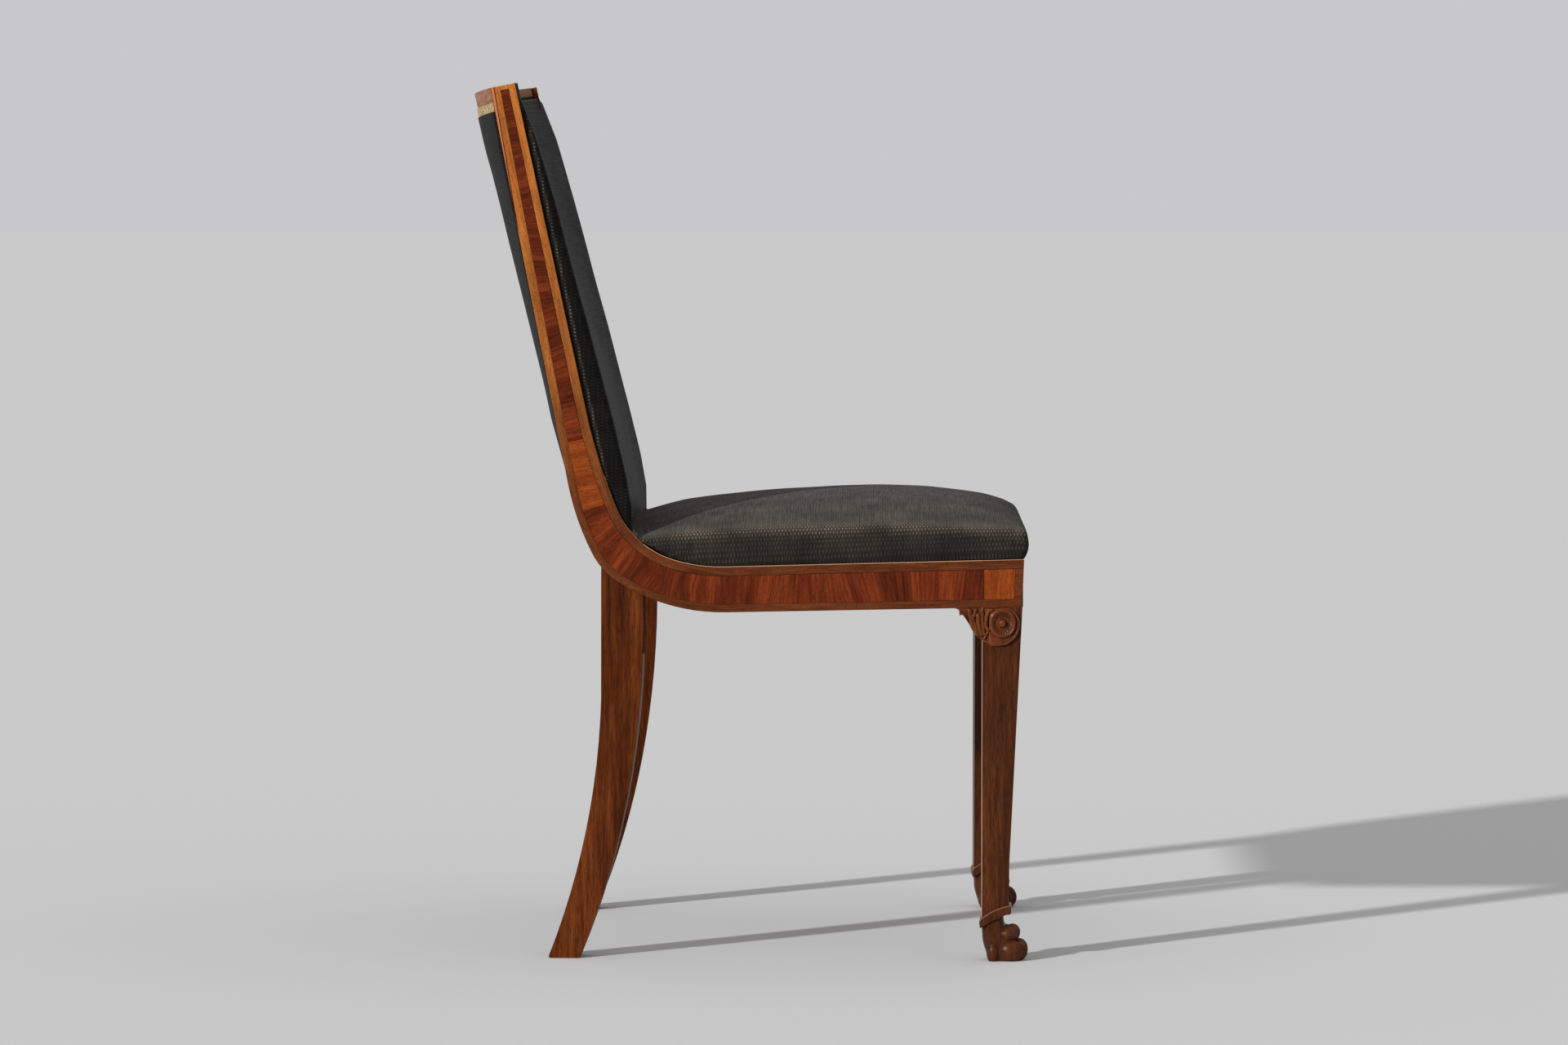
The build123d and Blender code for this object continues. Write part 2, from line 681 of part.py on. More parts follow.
core_pieces = (
    ("stile_top_veneer", stile_top_cut, top_border_cut),
    ("stile_crossband", top_border_cut, panel_top_cut),
    ("stile_light_panel", panel_top_cut, panel_bottom_cut),
    ("rail_crossband", panel_bottom_cut, square_cut),
    ("rail_light_square", square_cut, end_band_cut),
    ("rail_end_veneer", end_band_cut, front_cut),
)
for name, far_cut, near_cut in core_pieces:
    core = edge_band(side_plane.offset(-veneer), upper_edge, upper_band, lower_edge, lower_band)
    with BuildPart() as core_piece:
        extrude(core, amount=veneer)
        split(bisect_by=near_cut, keep=Keep.TOP)
        if near_cut is square_cut:
            split(bisect_by=panel_bottom_cut, keep=Keep.BOTTOM)
        else:
            split(bisect_by=far_cut, keep=Keep.BOTTOM)
    export_pair(core_piece.part, name)

# Veneers of the front: a band above and below, a crossband and two corner squares.
front_veneers = (
    ("front_upper_veneer", 0, toe_width / 2, rail_top_height - upper_band, overrun),
    ("front_lower_veneer", 0, toe_width / 2, front_foot_height, lower_band),
    (
        "front_crossband",
        0,
        toe_width / 2 - front_square,
        front_foot_height + lower_band,
        rail_top_height - upper_band - front_foot_height - lower_band,
    ),
)
for name, start, width, foot, rise in front_veneers:
    with BuildPart() as front_piece:
        with BuildSketch(front_face):
            with Locations((start, foot)):
                Rectangle(width, rise, align=Align.MIN)
        extrude(amount=veneer)
        split(bisect_by=seat_plane, keep=Keep.BOTTOM)
        split(bisect_by=side_plane.offset(-veneer), keep=Keep.BOTTOM)
        mirror(about=Plane.YZ)
    front_piece.part.label = name
    export_step(front_piece.part, "parts/" + name + ".step")

with BuildPart() as front_light_square:
    with BuildSketch(front_face):
        with Locations((toe_width / 2 - front_square, front_foot_height + lower_band)):
            square_rise = rail_top_height - upper_band - front_foot_height - lower_band
            Rectangle(front_square, square_rise, align=Align.MIN)
    extrude(amount=veneer)
    split(bisect_by=side_plane.offset(-veneer), keep=Keep.BOTTOM)
export_pair(front_light_square.part, "front_light_square")

# Glue blocks: behind the front post and in front of the rear post, against both rails.
rail_inboard = veneer + side_rail_thickness + glue_line
front_rail_back = rail_front_distance + veneer + front_rail_thickness + glue_line
block_post_side = front_leg_width + glue_line
block_post_back = front_leg_back_distance + glue_line
with BuildPart() as front_block:
    with BuildSketch(level_plane(rail_middle_height - block_height / 2)):
        Polygon(
            (-rail_inboard, block_post_back),
            (-rail_inboard, block_post_back + block_leg),
            (-block_post_side - block_leg, frame_distance(front_rail_back, block_post_side + block_leg)),
            (-block_post_side, frame_distance(front_rail_back, block_post_side)),
            (-block_post_side, block_post_back),
            align=None,
        )
    extrude(amount=block_height)
export_pair(front_block.part, "front_corner_block")

rear_block_side = veneer + post_thickness + glue_line
rear_block_end = knee_joint_distance - glue_line
rear_rail_front = rear_rail_distance - glue_line
with BuildPart() as rear_block:
    with BuildSketch(level_plane(rear_rail_top - rear_rail_height)):
        Polygon(
            (-rail_inboard, rear_block_end),
            (-rail_inboard, rear_block_end - block_leg),
            (-rear_block_side - block_leg, frame_distance(rear_rail_front, rear_block_side + block_leg)),
            (-rear_block_side, frame_distance(rear_rail_front, rear_block_side)),
            (-rear_block_side, rear_block_end),
            align=None,
        )
    extrude(amount=block_height)
export_pair(rear_block.part, "rear_corner_block")

# Scroll bracket: the corner piece behind the leg with its fan of acanthus ribs, and the
# scroll laid over the head of the leg with a raised spiral rib at its rim.
leaf_corner_height = rail_underside(front_leg_back_distance)
leaf_reach = scroll_reach - front_leg_back_distance
leaf_drop = leaf_corner_height - scroll_tip_height
leaf_points = [
    (front_leg_back_distance + glue_line + leaf_reach * across, leaf_corner_height + leaf_drop * up)
    for across, up in leaf_shares
]
scroll_points = [
    (rosette_distance + rosette_radius * across, rosette_height + rosette_radius * up)
    for across, up in scroll_shares
]
scroll_centre = Vector(rosette_distance, rosette_height)
scroll_top = (front_leg_back_distance + scroll_rib_width, rail_underside_height)
rail_foot_cut = cross_plane(0, rail_underside_height - glue_line, 90.0 - lower_slope)


def scroll_face(plane, shrink):
    """Face of the scroll over the leg's head, drawn in towards the rosette by a shrink."""
    points = []
    for across, up in scroll_points:
        spoke = Vector(across, up) - scroll_centre
        points.append(scroll_centre + spoke * ((spoke.length - shrink) / spoke.length))
    with BuildSketch(plane) as face:
        with BuildLine():
            ThreePointArc(points[0], points[1], points[2])
            ThreePointArc(points[2], points[3], points[4])
            Polyline(points[4], scroll_top, points[0])
        make_face()
    return face.sketch


with BuildPart() as scroll_bracket:
    with BuildSketch(side_plane.offset(scroll_relief)):
        with BuildLine():
            curl = Line(leaf_points[0], leaf_points[1])
            leaf = Spline(leaf_points[1], leaf_points[2], leaf_points[3])
            corner = (front_leg_back_distance + glue_line, rail_underside_height)
            Polyline(leaf @ 1, corner, (scroll_reach, rail_underside_height), curl @ 0)
        make_face()
    extrude(amount=-scroll_relief - scroll_depth)
    extrude(scroll_face(side_plane.offset(glue_line), 0), amount=scroll_relief - glue_line)
    extrude(scroll_face(side_plane.offset(scroll_relief), 0), amount=scroll_rib)
    extrude(
        scroll_face(side_plane.offset(scroll_relief), scroll_rib_width),
        amount=scroll_rib,
        mode=Mode.SUBTRACT,
    )
    rib_root = side_plane.from_local_coords(
        (front_leg_back_distance + rib_tip_radius, scroll_tip_height + rib_tip_radius, scroll_relief)
    )
    for rib in range(leaf_ribs):
        rib_distance = front_leg_back_distance + leaf_reach * (rib + 1 / 2) / leaf_ribs
        rib_tip = side_plane.from_local_coords((rib_distance, leaf_corner_height, scroll_relief))
        rib_way = rib_tip - rib_root
        with Locations(Plane(origin=rib_root, z_dir=rib_way)):
            Cone(
                rib_root_radius,
                rib_tip_radius,
                rib_way.length,
                align=(Align.CENTER, Align.CENTER, Align.MIN),
            )
    split(bisect_by=rail_foot_cut, keep=Keep.BOTTOM)
export_pair(scroll_bracket.part, "scroll_bracket")

# Rosette: a turned disc with a raised rim, a dished face and a button in the middle.
rosette_plane = Plane(
    origin=side_plane.from_local_coords((rosette_distance, rosette_height, scroll_relief + glue_line)),
    x_dir=side_plane.x_dir,
    z_dir=side_plane.z_dir,
)
with BuildPart() as rosette:
    turning_plane = Plane(rosette_plane.origin, x_dir=rosette_plane.x_dir, z_dir=-rosette_plane.y_dir)
    with BuildSketch(turning_plane):
        with BuildLine():
            Polyline(
                [
                    (rosette_radius * across, rosette_thickness * up)
                    for across, up in rosette_shares
                ],
                close=True,
            )
        make_face()
    revolve(axis=Axis(rosette_plane.origin, rosette_plane.z_dir))
export_pair(rosette.part, "rosette")

# Seat upholstery: webbing across and along the rails, canvas, stuffing and the cover.


def seat_outline(height, inset):
    """Rounded outline of the seat upholstery over the rails, drawn in by an inset."""
    front = cushion_front_distance + inset
    rear = cushion_rear_distance - inset
    front_half = floor_point(front, cushion_side_margin)[0] - inset
    rear_half = floor_point(rear, cushion_side_margin)[0] - inset
    with BuildSketch(seat_plane.offset(height)) as outline:
        with BuildLine():
            sides = Polyline((-rear_half, rear), (-front_half, front), (front_half, front), (rear_half, rear))
            ThreePointArc(sides @ 0, (0, rear + cushion_rear_bow), sides @ 1)
        make_face()
        fillet(outline.vertices(), cushion_corner_radius + inset * cushion_corner_growth_share)
    return outline.sketch


strap_gap = seat_clearance
across_level = strap_gap
along_level = across_level + web_thickness + strap_gap
canvas_level = along_level + web_thickness + strap_gap
stuffing_level = canvas_level + canvas_thickness + strap_gap
strap_pitch = (upper_bend_start - webbing_width) / webbing_across_count
with BuildPart() as seat_webbing:
    for strap in range(webbing_across_count):
        middle = front_rail_back + webbing_width / 2 + strap_pitch * strap
        half = floor_point(middle, webbing_lap)[0]
        with BuildSketch(seat_plane.offset(across_level)):
            with Locations((0, middle)):
                Rectangle(2 * half, webbing_width)
        extrude(amount=web_thickness)
    strap_start = rail_front_distance + webbing_lap
    strap_end = rear_rail_distance + webbing_rear_lap
    for strap in range(webbing_along_count):
        aside = (strap - (webbing_along_count - 1) / 2) * webbing_pitch
        with BuildSketch(seat_plane.offset(along_level)):
            with Locations((aside, strap_start)):
                Rectangle(webbing_width, strap_end - strap_start, align=(Align.CENTER, Align.MIN))
        extrude(amount=web_thickness)
seat_webbing.part.label = "seat_webbing"
export_step(seat_webbing.part, "parts/seat_webbing.step")

canvas_inset = cushion_insets[0] + cloth_thickness + 2 * seat_clearance
with BuildPart() as seat_canvas:
    extrude(seat_outline(canvas_level, canvas_inset), amount=canvas_thickness)
    add(frame_clearance.part, mode=Mode.SUBTRACT)
seat_canvas.part.label = "seat_canvas"
export_step(seat_canvas.part, "parts/seat_canvas.step")


def seat_dome(shrink, foot, step):
    """Outlines of the seat upholstery up its dome, smaller by a shrink, from a foot over the rails."""
    sections = [seat_outline(foot, cushion_insets[0] + shrink)]
    for height, inset in zip(cushion_heights[step::step], cushion_insets[step::step]):
        sections.append(seat_outline(height - shrink, inset + shrink))
    return sections


with BuildPart() as seat_stuffing:
    loft(seat_dome(cloth_thickness + seat_clearance, stuffing_level, cushion_hollow_step), ruled=True)
    add(frame_clearance.part, mode=Mode.SUBTRACT)
seat_stuffing.part.label = "seat_stuffing"
export_step(seat_stuffing.part, "parts/seat_stuffing.step")

with BuildPart() as seat_cover:
    loft(seat_dome(0, cushion_heights[0], 1), ruled=True)
    loft(seat_dome(cloth_thickness, -cloth_thickness, cushion_hollow_step), ruled=True, mode=Mode.SUBTRACT)
    add(frame_clearance.part, mode=Mode.SUBTRACT)
seat_cover.part.label = "seat_cover"
export_step(seat_cover.part, "parts/seat_cover.step")

# Back webbing and canvas, bent with the back, from the crest rail to the lower back rail.
webbing_face = back_face - seat_clearance
canvas_face = webbing_face - web_thickness - seat_clearance
stuffing_face = canvas_face - canvas_thickness - seat_clearance
back_drops = (inside_stations[0] + tape_thickness, back_rail_bottom)
web_front = webbing_face - web_thickness
canvas_front = canvas_face - canvas_thickness
with BuildPart() as back_webbing:
    loft([bowed_band(drop, web_front, webbing_face, back_bow(drop)) for drop in back_drops], ruled=True)
    with BuildSketch(back_plane(back_rail_bottom + overrun)):
        for strap in range(webbing_along_count):
            with Locations(((strap - (webbing_along_count - 1) / 2) * webbing_pitch, 0)):
                Rectangle(webbing_width, 2 * overrun)
    extrude(amount=stile_top_height, mode=Mode.INTERSECT)
back_webbing.part.label = "back_webbing"
export_step(back_webbing.part, "parts/back_webbing.step")

with BuildPart() as back_canvas:
    loft([bowed_band(drop, canvas_front, canvas_face, back_bow(drop)) for drop in back_drops], ruled=True)
    left_half(seat_clearance)
    mirror(about=Plane.YZ)
back_canvas.part.label = "back_canvas"
export_step(back_canvas.part, "parts/back_canvas.step")


def hollow_front(half, inner, edge, middle):
    """Draw a front face of the inside back: flat before the stiles and hollow between them."""
    left_wing = Line((-half, -edge), (-inner, -edge))
    hollow = ThreePointArc(left_wing @ 1, (0, -middle), (inner, -edge))
    right_wing = Line(hollow @ 1, (half, -edge))
    return left_wing @ 0, right_wing @ 1


def inside_cover_section(drop, edge, middle):
    """Section of the inside back cover, with its sides turned back to the stiles."""
    half = back_half(drop, inside_side_margin)
    inner = back_half(drop, veneer + post_thickness)
    fold = half - cloth_thickness
    with BuildSketch(back_plane(drop)) as section:
        with BuildLine():
            left, right = hollow_front(half, inner, edge, middle)
            fold_depths = (edge - cloth_thickness, middle - cloth_thickness)
            left_fold, right_fold = hollow_front(fold, inner, *fold_depths)
            Polyline(left, (-half, -seat_clearance), (-fold, -seat_clearance), left_fold)
            Polyline(right, (half, -seat_clearance), (fold, -seat_clearance), right_fold)
        make_face()
    return section.sketch


def inside_stuffing_section(drop, edge, middle):
    """Section of the back stuffing, between the cover and the canvas, with wings before the stiles."""
    layer = cloth_thickness + seat_clearance
    half = back_half(drop, inside_side_margin) - layer
    inner = back_half(drop, veneer + post_thickness)
    root = inner - seat_clearance
    bow = back_bow(drop)
    end = stuffing_face + bow * (1 - (root / inner) ** 2)
    with BuildSketch(back_plane(drop)) as section:
        with BuildLine():
            left, right = hollow_front(half, inner, edge - layer, middle - layer)
            Polyline(left, (-half, -seat_clearance), (-root, -seat_clearance), (-root, end))
            Polyline(right, (half, -seat_clearance), (root, -seat_clearance), (root, end))
            ThreePointArc((-root, end), (0, stuffing_face + bow), (root, end))
        make_face()
    return section.sketch


inside_shape = list(zip(inside_stations, inside_edges, inside_middles))
with BuildPart() as back_stuffing:
    loft([inside_stuffing_section(*station) for station in inside_shape])
    add(frame_clearance.part, mode=Mode.SUBTRACT)
back_stuffing.part.label = "back_stuffing"
export_step(back_stuffing.part, "parts/back_stuffing.step")

with BuildPart() as inside_cover:
    loft([inside_cover_section(*station) for station in inside_shape])
    add(frame_clearance.part, mode=Mode.SUBTRACT)
inside_cover.part.label = "inside_back_cover"
export_step(inside_cover.part, "parts/inside_back_cover.step")

# Outside back cover, from below the crest rail's show wood down to the rear seat rail.
with BuildPart() as outside_cover:
    outside_shape = zip(outside_stations, outside_ends, outside_bows)
    sections = [bowed_band(drop, end, end + outside_thickness, bow) for drop, end, bow in outside_shape]
    loft(sections, ruled=True)
    left_half(seat_clearance)
    mirror(about=Plane.YZ)
outside_cover.part.label = "outside_back_cover"
export_step(outside_cover.part, "parts/outside_back_cover.step")

# Woven tape over the outside cover's top edge, and the gimp over the inside cover's.
with BuildPart() as back_tape:
    sections = []
    for drop in (tape_top, tape_bottom):
        face = stile_depth(drop) + seat_clearance
        sections.append(bowed_band(drop, face, face + tape_thickness, back_bow(drop)))
    loft(sections, ruled=True)
    left_half(seat_clearance)
    mirror(about=Plane.YZ)
back_tape.part.label = "outside_back_tape"
export_step(back_tape.part, "parts/outside_back_tape.step")

with BuildPart() as back_gimp:
    sections = []
    for drop in (gimp_top, gimp_bottom):
        face = back_face - seat_clearance
        sections.append(bowed_band(drop, face - tape_thickness, face, back_bow(drop)))
    loft(sections, ruled=True)
    left_half(seat_clearance)
    mirror(about=Plane.YZ)
back_gimp.part.label = "inside_back_gimp"
export_step(back_gimp.part, "parts/inside_back_gimp.step")
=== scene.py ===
import bmesh
import bpy
from math import atan, atan2, cos, exp, hypot, pi, radians, sin, tan
from mathutils import Matrix, Vector, noise


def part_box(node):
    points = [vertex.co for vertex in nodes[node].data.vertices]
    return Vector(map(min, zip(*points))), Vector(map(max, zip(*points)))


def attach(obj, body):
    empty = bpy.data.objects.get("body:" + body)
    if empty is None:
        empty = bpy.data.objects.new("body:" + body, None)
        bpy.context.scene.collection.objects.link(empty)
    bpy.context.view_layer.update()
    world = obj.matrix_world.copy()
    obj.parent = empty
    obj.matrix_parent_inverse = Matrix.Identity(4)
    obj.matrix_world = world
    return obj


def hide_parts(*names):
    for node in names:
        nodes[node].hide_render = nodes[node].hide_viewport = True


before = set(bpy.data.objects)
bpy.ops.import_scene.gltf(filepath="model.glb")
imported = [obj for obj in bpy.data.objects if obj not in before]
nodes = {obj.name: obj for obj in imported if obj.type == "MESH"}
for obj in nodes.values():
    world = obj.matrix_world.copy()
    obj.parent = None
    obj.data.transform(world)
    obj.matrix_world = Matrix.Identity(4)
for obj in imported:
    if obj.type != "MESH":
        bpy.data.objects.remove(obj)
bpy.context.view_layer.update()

# Side frames. They splay out towards the front, so both are set out on a leaning ground
# line. Distances run rearwards from the toe tips, outwards from the veneered face, and up.
toe_width = 0.478
crest_width = 0.432
stile_top_distance = 0.5232
rail_front_distance = 0.0047
veneer = 0.001
toe_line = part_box("front_rail")[0].y - rail_front_distance - veneer
splay = atan((toe_width - crest_width) / 2 / stile_top_distance)
side_frame = Matrix.Translation((toe_width / 2, toe_line, 0)) @ Matrix.Rotation(splay, 4, "Z")
ground_line = side_frame.inverted()

# Camera: a long lens level with the crest rail, square to the right-hand side frame, as
# far off as keeps the far legs only a little smaller than the near ones.
focal_pixels = 7500.0
image_width = 1920.0
image_height = 1280.0
toe_pixel = (1258.6, 1178.0)
sight_distance = 6.25
sight_yaw = radians(0.67)
sight_pitch = radians(3.42)


def new_object(name, data):
    """Object of some data, put into the scene."""
    thing = bpy.data.objects.new(name, data)
    bpy.context.scene.collection.objects.link(thing)
    return thing


near_toe = Vector((-toe_width / 2, toe_line, 0))
sight = Vector((cos(sight_pitch) * cos(sight_yaw), cos(sight_pitch) * sin(sight_yaw), -sin(sight_pitch)))
sight_right = sight.cross(Vector((0, 0, 1))).normalized()
sight_up = sight_right.cross(sight)
across = sight_distance * (toe_pixel[0] - image_width / 2) / focal_pixels
above = sight_distance * (image_height / 2 - toe_pixel[1]) / focal_pixels
camera_data = bpy.data.cameras.new("side_view")
camera_data.sensor_width = 36.0
camera_data.lens = camera_data.sensor_width * focal_pixels / image_width
camera_data.clip_end = 100.0
camera = new_object("side_view", camera_data)
camera_turn = Matrix((sight_right, sight_up, -sight)).transposed().to_4x4()
camera_place = near_toe - sight * sight_distance - sight_right * across - sight_up * above
camera.matrix_world = Matrix.Translation(camera_place) @ camera_turn
bpy.context.scene.camera = camera
bpy.context.scene.view_settings.view_transform = "Standard"

# Studio: a wide pale floor that runs out to a plain pale world, soft light from all round,
# and one lamp low behind the chair's right shoulder that throws the long shadows.
backdrop_colour = (0.578, 0.578, 0.591, 1.0)
floor_colour = (0.588, 0.586, 0.59, 1.0)
fill_colour = (0.575, 0.575, 0.575, 1.0)
lamp_side = radians(46.5)
lamp_height = radians(21.0)
lamp_energy = 3.75
lamp_angle = radians(2.2)
floor_size = 60.0


def plug(socket, value):
    """Link a socket to another one, or give it a plain value."""
    if isinstance(value, bpy.types.NodeSocket):
        socket.id_data.links.new(value, socket)
    else:
        socket.default_value = value


def feed(node, **values):
    """Plug values into a node's inputs by name; an underscore stands for a space."""
    for name, value in values.items():
        plug(node.inputs[name.replace("_", " ")], value)


def join(tree, operation, first, second):
    """Math node on two sockets or plain numbers."""
    node = tree.nodes.new("ShaderNodeMath")
    node.operation = operation
    for socket, value in zip(node.inputs, (first, second)):
        plug(socket, value)
    return node.outputs[0]


def new_material(name, gloss):
    """New material, its node tree and its shader."""
    material = bpy.data.materials.new(name)
    material.use_nodes = True
    shader = material.node_tree.nodes["Principled BSDF"]
    feed(shader, Specular_IOR_Level=gloss)
    return material, material.node_tree, shader


def shaped_object(name, shape):
    """Object from a bmesh, put into the scene."""
    mesh = bpy.data.meshes.new(name)
    shape.to_mesh(mesh)
    shape.free()
    return new_object(name, mesh)


floor_shape = bmesh.new()
bmesh.ops.create_grid(floor_shape, x_segments=2, y_segments=2, size=floor_size)
floor = shaped_object("floor", floor_shape)
floor_paper, tree, shader = new_material("floor_paper", 0.0)
feed(shader, Base_Color=floor_colour, Roughness=1.0)
floor.data.materials.append(floor_paper)

world = bpy.data.worlds.new("studio")
world.use_nodes = True
bpy.context.scene.world = world
air = world.node_tree
fill = air.nodes["Background"]
feed(fill, Color=fill_colour)
seen = air.nodes.new("ShaderNodeBackground")
feed(seen, Color=backdrop_colour)
ray = air.nodes.new("ShaderNodeLightPath").outputs
glossy = join(air, "MAXIMUM", ray["Is Glossy Ray"], ray["Is Transmission Ray"])
choice = air.nodes.new("ShaderNodeMixShader")
plug(choice.inputs[0], join(air, "MAXIMUM", ray["Is Camera Ray"], glossy))
plug(choice.inputs[1], fill.outputs[0])
plug(choice.inputs[2], seen.outputs[0])
feed(air.nodes["World Output"], Surface=choice.outputs[0])

lamp_data = bpy.data.lights.new("window", "SUN")
lamp_data.energy = lamp_energy
lamp_data.angle = lamp_angle
lamp = new_object("window", lamp_data)
lamp_way = Vector((cos(lamp_height) * cos(lamp_side), -cos(lamp_height) * sin(lamp_side), -sin(lamp_height)))
lamp.rotation_euler = lamp_way.to_track_quat("-Z", "Y").to_euler()

# Side rails and front legs: solid walnut, planed square, with the arrises just taken off
# and a thin shellac polish. The grain runs up the legs and along the rails.
hands = (("left", 1), ("right", -1))
flat_angle = radians(1.0)
sharp_angle = 0.6
upright_grain = (60.0, 60.0, 5.0)
depth_grain = (60.0, 5.0, 60.0)
rail_top_height = 0.4118
rail_depth = 0.048
front_lean = 0.0019
front_lean_reach = 0.03
rear_colours = ((0.03, 0.0065, 0.002), (0.082, 0.0185, 0.0042), (0.15, 0.038, 0.008))
front_colours = ((0.022, 0.006, 0.0022), (0.058, 0.0155, 0.0046), (0.105, 0.031, 0.008))


def colour_ramp(tree, colours, position, middle=0.5):
    """Colour ramp node from the first to the last of two or three colours."""
    ramp = tree.nodes.new("ShaderNodeValToRGB")
    places = (0.0, 1.0)
    if len(colours) == 3:
        ramp.color_ramp.elements.new(middle)
        places = (0.0, middle, 1.0)
    for element, place, colour in zip(ramp.color_ramp.elements, places, colours):
        element.position = place
        element.color = (*colour, 1.0)
    feed(ramp, Fac=position)
    return ramp.outputs["Color"]


def stretched_noise(tree, coordinates, scale, detail, roughness):
    """Noise drawn out along the grain by a mapping's scale."""
    mapping = tree.nodes.new("ShaderNodeMapping")
    feed(mapping, Scale=scale, Vector=coordinates)
    grain = tree.nodes.new("ShaderNodeTexNoise")
    feed(grain, Scale=1.0, Detail=detail, Roughness=roughness, Vector=mapping.outputs["Vector"])
    return grain.outputs["Fac"]


def times(tree, first, second):
    """Product of two sockets or numbers."""
    return join(tree, "MULTIPLY", first, second)


def plus(tree, first, second):
    """Sum of two sockets or numbers."""
    return join(tree, "ADD", first, second)


def spread(tree, value, low, high, first, last):
    """Map range node from low..high to first..last."""
    node = tree.nodes.new("ShaderNodeMapRange")
    feed(node, Value=value, From_Min=low, From_Max=high, To_Min=first, To_Max=last)
    return node.outputs["Result"]


def blend(tree, kind, amount, first, second):
    """Colour mix node: the amount, and either colour, may be a socket or a plain value."""
    node = tree.nodes.new("ShaderNodeMix")
    node.data_type = "RGBA"
    node.blend_type = kind
    feed(node, Factor=amount)
    for socket, value in zip(node.inputs[6:8], (first, second)):
        plug(socket, (*value, 1.0) if isinstance(value, tuple) else value)
    return node.outputs[2]


def written(tree, name):
    """Socket of a value written into the mesh point by point."""
    node = tree.nodes.new("ShaderNodeAttribute")
    node.attribute_name = name
    return node.outputs["Fac"]


def darken(tree, colour, amount):
    """Colour multiplied by a grey amount socket."""
    return blend(tree, "MULTIPLY", 1.0, colour, amount)


def raise_surface(tree, height, strength, depth):
    """Bump on the shader from a height socket."""
    bump = tree.nodes.new("ShaderNodeBump")
    feed(bump, Strength=strength, Distance=depth, Height=height)
    feed(tree.nodes["Principled BSDF"], Normal=bump.outputs["Normal"])


def grain_tone(tree, figure, streaks, share):
    """The figure and the streaks of a wood added up in equal shares."""
    return plus(tree, times(tree, figure, share), times(tree, streaks, share))


def polish(tree, shader, colour, streaks, duller, brighter):
    """Give the shader its colour, and a roughness that follows the streaks."""
    feed(shader, Base_Color=colour, Roughness=spread(tree, streaks, 0.3, 0.7, duller, brighter))


def solid_wood(name, colours, grain, gloss, roughness, painted_light_and_marks=False):
    """Wood with a broad figure, fine streaks and open pores along its grain."""
    wood, tree, shader = new_material(name, gloss)
    place = tree.nodes.new("ShaderNodeTexCoord").outputs["Object"]
    figure = stretched_noise(tree, place, [size * 0.45 for size in grain], 3.0, 0.5)
    streaks = stretched_noise(tree, place, [size * 3.5 for size in grain], 5.0, 0.6)
    pores = stretched_noise(tree, place, [size * 18.0 for size in grain], 2.0, 0.5)
    tone = grain_tone(tree, figure, streaks, 0.5)
    colour = colour_ramp(tree, colours, spread(tree, tone, 0.36, 0.66, 0.0, 1.0))
    colour = darken(tree, colour, spread(tree, pores, 0.36, 0.5, 0.6, 1.0))
    if painted_light_and_marks:
        # Hollows are darkened, partly wax grime and partly painted shade; ridges are paler, partly wear and
        # partly painted highlight.
        depth = written(tree, "hollow")
        colour = darken(tree, colour, spread(tree, depth, 0.5, 1.0, 1.0, 0.16))
        ridge = spread(tree, depth, 0.5, 0.05, 0.0, 0.75)
        colour = blend(tree, "MIX", ridge, colour, colours[-1])
    polish(tree, shader, colour, streaks, roughness + 0.08, roughness - 0.06)
    raise_surface(tree, pores, 0.22, 0.0002)
    return wood


def dress(piece, *materials):
    """Give a piece its materials in place of any that it has."""
    if piece.data.materials:
        piece.data.materials.clear()
    for material in materials:
        piece.data.materials.append(material)


def face_out(shape):
    """Turn a shape's faces outwards."""
    bmesh.ops.recalc_face_normals(shape, faces=shape.faces[:])


def add_piece(name, shape):
    """New piece from a bmesh, riding on the chair."""
    piece = shaped_object(name, shape)
    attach(piece, "root")
    return piece


def stand_in(node, name, shape, *materials):
    """Piece from a shape, in its materials, in place of a CAD node."""
    piece = add_piece(name, shape)
    dress(piece, *materials)
    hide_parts(node)
    return piece


def merged_copy(node):
    """Closed shape of a CAD node as a bmesh."""
    shape = bmesh.new()
    shape.from_mesh(nodes[node].data)
    bmesh.ops.remove_doubles(shape, verts=shape.verts, dist=0.000002)
    return shape


def ease(shape, edges, arris, slot):
    """Round edges off in two facets; the slot is the new faces' material."""
    bmesh.ops.bevel(
        shape,
        geom=edges,
        offset=arris,
        segments=2,
        profile=0.5,
        affect="EDGES",
        clamp_overlap=True,
        material=slot,
    )


def trim_arrises(shape, arris, slot=-1):
    """Take the sharp outer arrises off a shape."""
    bmesh.ops.dissolve_limit(shape, angle_limit=flat_angle, verts=shape.verts, edges=shape.edges)
    outer = [edge for edge in shape.edges if edge.is_manifold and edge.is_convex]
    ease(shape, [edge for edge in outer if edge.calc_face_angle() > sharp_angle], arris, slot)


def planed(node, name, arris, material):
    """Copy of a CAD node with its sharp outer arrises taken off."""
    shape = merged_copy(node)
    trim_arrises(shape, arris)
    stand_in(node, name, shape, material)


def plain_material(name, colour, roughness):
    """Material of one colour, for small worn or dark places."""
    material, tree, shader = new_material(name, 0.03)
    feed(shader, Base_Color=(*colour, 1.0), Roughness=roughness)
    return material


def clamp(value):
    """Value held between 0 and 1."""
    return min(1.0, max(0.0, value))


def lean_front(shape):
    """Lean the front end of the rails back with the legs under them."""
    for vertex in shape.verts:
        forward = 1 - (vertex.co.y - toe_line) / front_lean_reach
        if forward > 0:
            fall = clamp((rail_top_height - vertex.co.z) / rail_depth)
            vertex.co.y += front_lean * fall * min(1.0, forward * 1.4)


def on_side(outward, distance, height, way):
    """World place of a point of a side frame; way is 1 for the left frame, -1 for the right."""
    point = side_frame @ Vector((outward, distance, height))
    return Vector((point.x * way, point.y, point.z))


